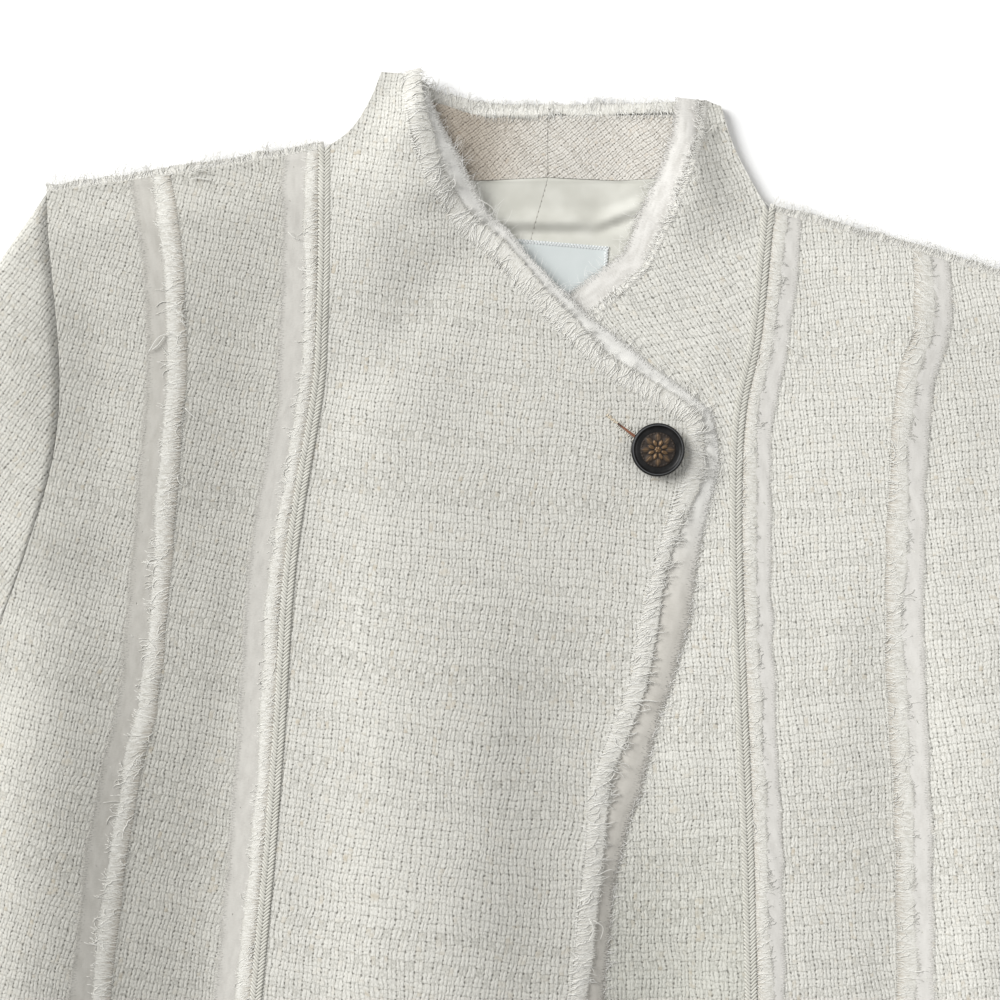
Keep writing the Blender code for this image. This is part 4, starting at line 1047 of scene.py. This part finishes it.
def fringe(name, root, away, under, start_rise, length, density, seed, inset, thick, stand,
           matting, swing=0.0, bends=10, kind=EDGE_YARN, dip=0.5, sink=0.15):
    """Crimped yarns from an edge, lying outwards over a surface and curling at their ends.

    inset is how far inside the edge they start and dip how deep in the cloth, thick their
    radius, stand how freely they rise, matting how much of their length is matted, swing how
    far they turn to the left of straight outwards, in degrees, and sink how far their tips
    settle.
    """
    rng = np.random.default_rng(seed)
    swing = np.radians(np.broadcast_to(swing, len(root)))[:, None]

    def surface(flat, steps):
        high = under(flat) + 0.3 + start_rise * (1.0 - 0.75 * smooth(steps * 1.4))
        return high - dip * (1.0 - smooth(steps * 2.4)) - sink * smooth(steps * 2.0 - 1.0)

    felted(name, root, toward(np.arctan2(away[:, 1], away[:, 0]) + swing[:, 0]), surface, inset,
           length * matting, seed + 5, kind[1])
    root, away, swing = even_steps(root, 1.0 / density, away, swing)
    count = len(root)
    along = np.column_stack([-away[:, 1], away[:, 0]])
    root = root + along * rng.normal(0.0, 0.3, count)[:, None]
    place = np.arange(count) / density / LOCK + wavering(count, max(4, count // 8), 0.3, seed + 4)
    place -= place.min()
    which = place.astype(int)
    ahead = np.gradient(root, axis=0)
    ahead /= np.linalg.norm(ahead, axis=1)[:, None] + 1e-9
    loose = rng.random(count) < 0.2
    turn = swing[:, 0] + rng.normal(0.0, 0.14, count) + loose * rng.normal(0.0, 0.5, count)
    turn += wavering(count, max(4, count // 10), 0.26, seed + 1)
    turn += rng.normal(0.0, 0.16, which.max() + 1)[which]
    curl = rng.normal(0.0, 0.4, count) + loose * rng.normal(0.0, 1.4, count)
    curl += wavering(count, max(4, count // 12), 0.45, seed + 2)
    reach = length * rng.normal(1.0, 0.09, count) * (1.0 + loose * rng.uniform(-0.3, 0.3, count))
    reach *= 1.0 + wavering(count, max(4, count // 11), 0.08, seed + 3)
    reach *= 1.0 + rng.normal(0.0, 0.11, which.max() + 1)[which]
    inset = inset * rng.uniform(0.4, 1.7, count)
    steps = np.linspace(0.0, 1.0, bends)
    angle = np.arctan2(away[:, 1], away[:, 0])[:, None] + turn[:, None] * smooth(steps * 2.5)
    angle = angle + curl[:, None] * steps ** 3 * 1.3
    flat = np.cumsum(toward(angle) * ((reach + inset) / (bends - 1))[:, None, None], axis=1)
    flat = flat - flat[:, :1] + (root - away * inset[:, None])[:, None]
    gather = (place - which - 0.5)[:, None] * steps ** 1.4 * 0.6 * LOCK
    flat = flat - ahead[:, None] * gather[..., None]
    run = steps * (reach + inset)[:, None]
    pitch = rng.uniform(2.0, 2.8, count)[:, None]
    phase = rng.uniform(0, 2 * np.pi, count)[:, None]
    crimp = rng.uniform(0.20, 0.40, count)[:, None] * np.sin(2 * np.pi * run / pitch + phase)
    flat = flat + crimp[..., None] * np.stack([-np.sin(angle), np.cos(angle)], -1)
    rise = rng.uniform(-0.06, 0.30, count)[:, None] * stand * np.sin(np.pi * (0.1 + 0.75 * steps))
    rise = rise + 0.05 * np.cos(2 * np.pi * run / pitch + phase)
    rise = rise + loose[:, None] * steps * 0.5 * stand - 0.12 * smooth((steps - 0.6) / 0.4)
    line = raised(flat, surface(flat, steps) + 0.10 + np.maximum(-0.15, rise))
    width = thick * rng.uniform(0.7, 1.15, count)[:, None]
    width = width * (1.0 - 0.4 * steps ** 4) * (0.35 + 0.65 * smooth(steps * 4.0))
    threads_piece(f"fringe_yarns_{name}", line, width, kind[0], "yarn", f"fringe_{name}")


for side in SIGN:
    for number, name in enumerate(("inner", "outer")):
        seam_line, ahead = strip_edges[name, side]
        start, length = (2.8, 6.3) if name == "inner" else (0.7, 8.2)
        fringe(f"{name}_{side}", seam_line + ahead * start, ahead, over(lower_height, 0.15), -0.1,
               length, 1.9, 60 + 10 * number + (side == "left"), inset=1.5, thick=0.18, stand=0.4,
               bends=9, matting=1.06, kind=SEAM_YARN, dip=0.45)

# (row of the edge, degrees that its yarns turn up from straight outwards)
EDGE_SWING = [(0, 10), (6, 5), (12, 0), (13, 20), (15, 45), (16, 42), (17, 20), (19, 14), (31, 6)]
rows = np.arange(len(raw_line["right"])) / FINE
fringe("edge_right", raw_line["right"], raw_away["right"], over(upper_height, -0.75), 0.7, 9.2,
       2.2, 90, inset=1.8, thick=0.2, stand=0.7, swing=np.interp(rows, *zip(*EDGE_SWING)),
       matting=1.0, sink=0.5)
fringe("neck_left", raw_line["left"][:NECK_KEPT], raw_away["left"][:NECK_KEPT],
       over(lower_height, -0.8), 0.75, 5.2, 1.6, 91, inset=1.2, thick=0.2, stand=1.0, matting=0.6)


def collar_back_top(points):
    """From the facing's upper face down over the collar's edge."""
    risen = neck_hollow(points)
    outer = 0.9 + 0.8 * risen
    return outer + (TWEED + 0.3 + FACING + risen - outer) * smooth((2.0 - points[..., 1]) / 3.0)


root = path([(-57, 12.5), (-47, 6), (-35, 2), (-18, 0.2), (0, 0), (54, 1)], 80) + (0.0, 0.5)
fringe("collar_back", root, normals(root, 1.0), collar_back_top, -0.22, 6.0, 2.2, 120, inset=3.2,
       thick=0.16, stand=0.5, matting=0.8, dip=0.3)
for side in SIGN:
    root = joined(path([INNER_SEAM[side][0], OUTER_SEAM[side][0]], 60),
                  path([OUTER_SEAM[side][0], SHOULDER_TIP[side]], 50))
    fringe(f"shoulder_{side}", root, normals(root, SIGN[side]),
           lambda points: np.full(points.shape[:-1], 3.1), 1.1, 6.2, 2.2, 130 + (side == "left"),
           inset=1.5, thick=0.15, stand=0.6, matting=0.6)


# ------------------------------------------------------------------ stray threads
# A few long yarns and fine threads have worked loose from the seams and necklines and lie
# over the cloth; one short dark end stands at the middle of the back collar.
STRAYS = [
    # points in the plane, radius
    ([(-160.5, -94.5), (-163, -98), (-165.5, -100)], 0.22),
    ([(-158, -93), (-163, -95), (-167, -101)], 0.2),
    ([(-152, -124.5), (-149.5, -127), (-146.5, -129.5)], 0.2),
    ([(-104, -54), (-107, -52.5), (-109, -50.5)], 0.2),
    ([(-151, -26), (-146, -24), (-142, -25.5)], 0.22),
    ([(-150, -24), (-147, -22.5), (-143, -22.8)], 0.22),
    ([(-151, -28), (-147, -27.5), (-142, -28.5)], 0.2),
    ([(19, -339), (23, -342), (22, -347)], 0.2),
    ([(17, -338), (19, -343), (17, -348)], 0.22),
    ([(61, -6), (66, -9), (70, -5)], 0.2),
    ([(60, -22), (63, -26), (60, -30)], 0.2),
    ([(30, -74), (33, -78), (31, -81)], 0.12),
    ([(-29, -37), (-24, -40), (-22, -43)], 0.18),
    ([(58, -112), (62, -116), (60, -121)], 0.2),
    ([(100, -98), (104, -101), (103, -106)], 0.2),
]
strays = []
for run, radius in STRAYS:
    height = upper_height if run[0][0] < 50 else lower_height
    strays.append(on(height, path(run, 9), 1.2 + 0.5 * np.sin(np.linspace(0.2, 2.8, 10))))
threads_piece("stray_threads", np.array(strays),
              np.repeat([[radius] for run, radius in STRAYS], 10, axis=1), fringe_yarn, "yarn")
brown_thread = thread_of("brown_thread", (0.05, 0.045, 0.035, 1), (0.16, 0.13, 0.10, 1), 0.8)
DARK_ENDS = [[(0.4, 0.6), (0.9, 1.2), (0.2, 1.8)], [(0.0, 1.9), (0.7, 1.3), (1.2, 1.9)],
             [(30, -73), (31.5, -75), (30.5, -77)], [(27, -76), (29, -77.5), (31, -77)]]
ends = []
for run in DARK_ENDS:
    flat = path(run, 7)
    high = 4.6 if run[0][1] > 0.0 else upper_height(flat) + 0.6
    ends.append(raised(flat, high))
threads_piece("dark_thread_ends", np.array(ends), np.full((len(ends), 8), 0.13), brown_thread,
              "yarn")


# ------------------------------------------------------------------ braids
# The seam beside each centre front is covered with a flat cotton braid, 5 mm wide, plaited
# in two rows whose strands meet in a chevron down the middle.
BRAID_WIDTH = 5.0
STRAND_STEP = 1.55
cotton = thread_of("braid_cotton", (0.50, 0.49, 0.435, 1), (0.60, 0.59, 0.535, 1), 0.7)
# a darker core under the strands: painted shade in the gaps between them
shaded_core_cotton = thread_of("shaded_core_cotton", (0.43, 0.42, 0.37, 1), (0.50, 0.49, 0.44, 1), 0.9)


def braid_base(flat, off, side):
    """Height of the cloth under the braid, which is the higher front's on its side."""
    return np.where(off * -SIGN[side] > 0.0, HEIGHT[side](flat), lower_height(flat))


for side in SIGN:
    line, ahead = even_steps(inner_line[side], STRAND_STEP, normals(inner_line[side], -1.0))
    tangent = np.column_stack([ahead[:, 1], -ahead[:, 0]])
    steps = np.linspace(0.0, 1.0, 5)
    down = (steps - 0.5) * 3.0
    rise = 0.25 + 0.30 * np.sin(np.pi * (0.06 + 0.80 * steps)) ** 0.7
    strands = []
    for half in (-1.0, 1.0):
        across = half * (0.5 * BRAID_WIDTH * (1.0 - steps) - 0.2 * steps)
        flat = (line[:, None] + ahead[:, None] * across[:, None]
                + tangent[:, None] * -down[:, None])
        strands.append(raised(flat, braid_base(flat, across, side) + rise))
    strands = np.vstack(strands)
    width = np.broadcast_to(0.60 * np.sin(np.pi * (0.16 + 0.62 * steps)) ** 0.4, strands.shape[:2])
    threads_piece(f"braid_strands_{side}", strands, width, cotton, "braid", f"braid_{side}", sides=6,
                  squash=0.5)
    off = np.array([-1.5, -0.75, 0.75, 1.5])[:, None]
    flat = line[None, ::2] + ahead[None, ::2] * off[..., None]
    core = raised(flat, braid_base(flat, off, side) + 0.05)
    threads_piece(f"braid_core_{side}", core, np.full(core.shape[:2], 0.55), shaded_core_cotton, "braid",
                  f"braid_{side}")


# ------------------------------------------------------------------ buttonhole
# A slanting buttonhole is cut in the right front above the button's edge. Its lips are
# worked over with beige thread, and between them a dark sheet in the slit carries a painted
# shadow, black turning brown along its length.
HOLE = np.array((26.6, -128.9)), np.array((38.0, -137.6))
SLIT_STEPS = 24
silk_twist = thread_of("buttonhole_twist", (0.56, 0.53, 0.46, 1), (0.70, 0.68, 0.61, 1), 0.7)
beige_twist = thread_of("beige_twist", (0.52, 0.44, 0.32, 1), (0.70, 0.62, 0.49, 1), 0.7)
dark, paint = material_of("slit_shadow", 0.9)
place = paint.cloth()
# painted shadow in the slit, black turning brown along it
slit_shade = place.part(0) * 0.11 + place.noise(1.4, 2.0) - 0.75
paint.surface("Base Color", slit_shade.ramp(0.0, 0.6).between((0.035, 0.022, 0.016, 1),
                                                         (0.25, 0.105, 0.06, 1)))
reach = np.linalg.norm(HOLE[1] - HOLE[0])
ahead = (HOLE[1] - HOLE[0]) / reach
beside = np.array((-ahead[1], ahead[0]))
along = np.linspace(0.0, reach, SLIT_STEPS)
open_by = 0.30 + 0.34 * np.linspace(0.0, 1.0, SLIT_STEPS)
lips = [HOLE[0] + ahead * along[:, None] + beside * (sway * open_by)[:, None] for sway in (1, -1)]
rim_points = np.stack([on(upper_height, lip, 0.06) for lip in lips], axis=1)
slit = np.concatenate([rim_points, rim_points - (0.0, 0.0, 0.5)], axis=1).reshape(-1, 3)
last = 4 * (SLIT_STEPS - 1)
quads = []
for a in range(0, last, 4):
    quads += [(a, a + 1, a + 5, a + 4), (a + 2, a + 6, a + 7, a + 3), (a, a + 4, a + 6, a + 2),
              (a + 1, a + 3, a + 7, a + 5)]
quads += [(0, 2, 3, 1), (last, last + 1, last + 3, last + 2)]
cloth = np.repeat(np.outer(along, (1.0, 0.0, 0.0)), 4, axis=0)
piece_of("buttonhole_slit", meshed("buttonhole_slit", slit, quads, dark, cloth), "shank")
rng = np.random.default_rng(7)
bars, knot_bars = [], []
for sway in (1.0, -1.0):
    for place in np.arange(-2.4, reach, 0.42):
        gap = np.interp(place, along, open_by)
        lean = rng.normal(0.0, 0.18)
        over_knot = place < 3.2
        start = HOLE[0] + ahead * place + beside * sway * (-0.35 if over_knot else gap * 1.15)
        start = start + ahead * rng.normal(0.0, 0.25)
        end = start + beside * sway * rng.uniform(0.7, 1.5) + ahead * lean
        flat = start + (end - start) * np.linspace(0, 1, 5)[:, None]
        arch = 0.02 + 0.16 * np.sin(np.pi * np.linspace(0.2, 1, 5))
        kind = knot_bars if over_knot else bars
        kind.append(on(upper_height, flat, arch))
bars, knot_bars = np.array(bars), np.array(knot_bars)
threads_piece("buttonhole_stitches", bars, np.full(bars.shape[:2], 0.19), silk_twist, "yarn")
threads_piece("buttonhole_knot", knot_bars, np.full(knot_bars.shape[:2], 0.20), beige_twist, "yarn")


# ------------------------------------------------------------------ button
# A 22.5 mm blazer button: a black resin body with a raised rim, and pressed into its dished
# face an antique bronze rosette of plain petals round a knot, rubbed bright on its ridges.
BUTTON_RADIUS = 11.2
BUTTON_THICKNESS = 3.4
DISH = 1.2
seat = float(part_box("button")[0][2]) * 1000.0


def turned_piece(name, profile, material, slot, node, sides=96):
    """A round piece turned about the button's axis from (radius, height) points. Each point
    knows its share of the button's radius."""
    angle = 2 * np.pi * np.arange(sides) / sides
    rings = np.array([[(BUTTON_CENTRE[0] + r * math.cos(t), BUTTON_CENTRE[1] + r * math.sin(t),
                        seat + z) for t in angle] for r, z in profile])
    number = np.arange(len(profile) * sides).reshape(len(profile), sides)
    after = np.roll(number, -1, axis=1)
    quads = np.stack([number[:-1], after[:-1], after[1:], number[1:]], -1).reshape(-1, 4).tolist()
    faces = quads + [number[0][::-1].tolist(), number[-1].tolist()]
    share = np.repeat([r / BUTTON_RADIUS for r, z in profile], sides * 3)
    piece_of(name, meshed(name, rings.reshape(-1, 3), faces, material, share), slot, node)


resin, paint = material_of("black_resin", 0.32, Specular_IOR_Level=0.28)
dust = paint.solid().noise(900.0, 3.0)
scuff = paint.solid().noise(260.0, 4.0)
# painted highlight: a thin grey ring round the rim's top
off_ring = (paint.cloth().part(0) - 0.925).maths("ABSOLUTE")
painted_highlight_ring = 1.0 - (off_ring + scuff * 0.012 - 0.006).ramp(0.002, 0.018)
black = scuff.ramp(0.4, 0.75).between((0.006, 0.006, 0.006, 1), (0.016, 0.015, 0.015, 1))
paint.surface("Base Color", (painted_highlight_ring * 0.8).between(black, (0.13, 0.133, 0.137, 1)))
paint.surface("Roughness", dust * 0.22 + 0.30)
paint.bump(0.12, 0.0002, scuff)
R = BUTTON_RADIUS
turned_piece("button_body", [
    (0.5, 0.0), (0.62 * R, 0.0), (0.8 * R, 0.15), (0.9 * R, 0.45), (0.97 * R, 0.95), (R, 1.5),
    (R, 2.3), (0.985 * R, 2.8), (0.955 * R, 3.15), (0.925 * R, 3.3), (0.895 * R, 3.22),
    (0.875 * R, 2.95), (0.855 * R, 2.62), (0.83 * R, 2.42), (0.78 * R, 2.32), (0.72 * R, 2.25),
    (0.5 * R, BUTTON_THICKNESS - DISH), (0.1, BUTTON_THICKNESS - DISH)], resin, "button", "button")
turned_piece("thread_shank", [(0.1, -1.65), (2.2, -1.65), (2.4, -1.3), (2.0, -0.9), (2.4, -0.5),
                              (2.2, -0.1), (0.1, -0.1)], resin, "shank", "button_shank", 32)

bronze, paint = material_of("antique_bronze", 0.42)
tarnish = paint.solid().noise(700.0, 4.0)
rubbed = (paint.cloth().part(2) + tarnish * 0.5 - 0.25).ramp(0.25, 0.85)
paint.surface("Base Color", rubbed.between((0.022, 0.014, 0.009, 1), (0.20, 0.125, 0.065, 1)))
paint.surface("Metallic", rubbed * 0.5 + 0.2)
paint.surface("Roughness", 0.66 - rubbed * 0.2)
paint.bump(0.35, 0.00015, tarnish)
PETALS = 8
RELIEF_EDGE = 0.66       # share of the button's radius
RELIEF_RINGS = 44
RELIEF_SIDES = 192
angle = 2 * np.pi * np.arange(RELIEF_SIDES) / RELIEF_SIDES
radius = np.linspace(0.02, RELIEF_EDGE, RELIEF_RINGS)[:, None] * R
from_middle = radius / R


def petal_row(inner, outer, turn):
    """How much a row of round-ended petals stands up at each place, 0 to 1, with a midrib."""
    tip = inner + (outer - inner) * (0.80 + 0.20 * np.cos(PETALS * (angle - turn)))
    t = (from_middle - inner) / (tip - inner)
    body = np.clip(1.0 - np.abs(2.0 * t - 1.0) ** 3, 0.0, 1.0) * (t > 0) * (t < 1)
    share = np.abs(np.sin(0.5 * PETALS * (angle - turn)))
    across = np.clip(1.0 - share ** 4, 0.0, 1.0)
    rib = np.exp(-(share / 0.16) ** 2) * 0.22 - np.exp(-((share - 0.35) / 0.1) ** 2) * 0.12
    return body * (across ** 0.8) * (0.85 + rib)


outer_row = petal_row(0.28, RELIEF_EDGE, 0.0)
inner_row = petal_row(0.12, 0.42, np.pi / PETALS)
knot = np.clip(1.0 - (from_middle / 0.13) ** 2, 0.0, 1.0) ** 0.5 * (0.85 + 0.15 * np.cos(6 * angle))
beads = np.clip(np.cos(32 * angle), 0, 1) * np.exp(-((from_middle - 0.615) / 0.022) ** 2)
form = np.maximum.reduce([0.62 * outer_row, 0.95 * inner_row, 1.05 * knot, 0.5 * beads])
bevel = np.clip((RELIEF_EDGE - from_middle) / 0.03, 0.0, 1.0)
dome = 0.32 * (1.0 - (radius / (RELIEF_EDGE * R)) ** 2)
height = BUTTON_THICKNESS - DISH + 0.12 + bevel * (dome + 0.72 * form)
points = raised(BUTTON_CENTRE + radius[..., None] * toward(angle), seat + height).reshape(-1, 3)
number = np.arange(RELIEF_RINGS * RELIEF_SIDES).reshape(RELIEF_RINGS, RELIEF_SIDES)
after = np.roll(number, -1, axis=1)
quads = np.stack([number[:-1], number[1:], after[1:], after[:-1]], -1).reshape(-1, 4).tolist()
faces = quads + [number[0].tolist(), number[-1][::-1].tolist()]
mesh = meshed("bronze_rosette", points, faces, bronze, form[..., None] * (0.0, 0.0, 1.0))
piece_of("bronze_rosette", mesh, "bronze", "button_relief")
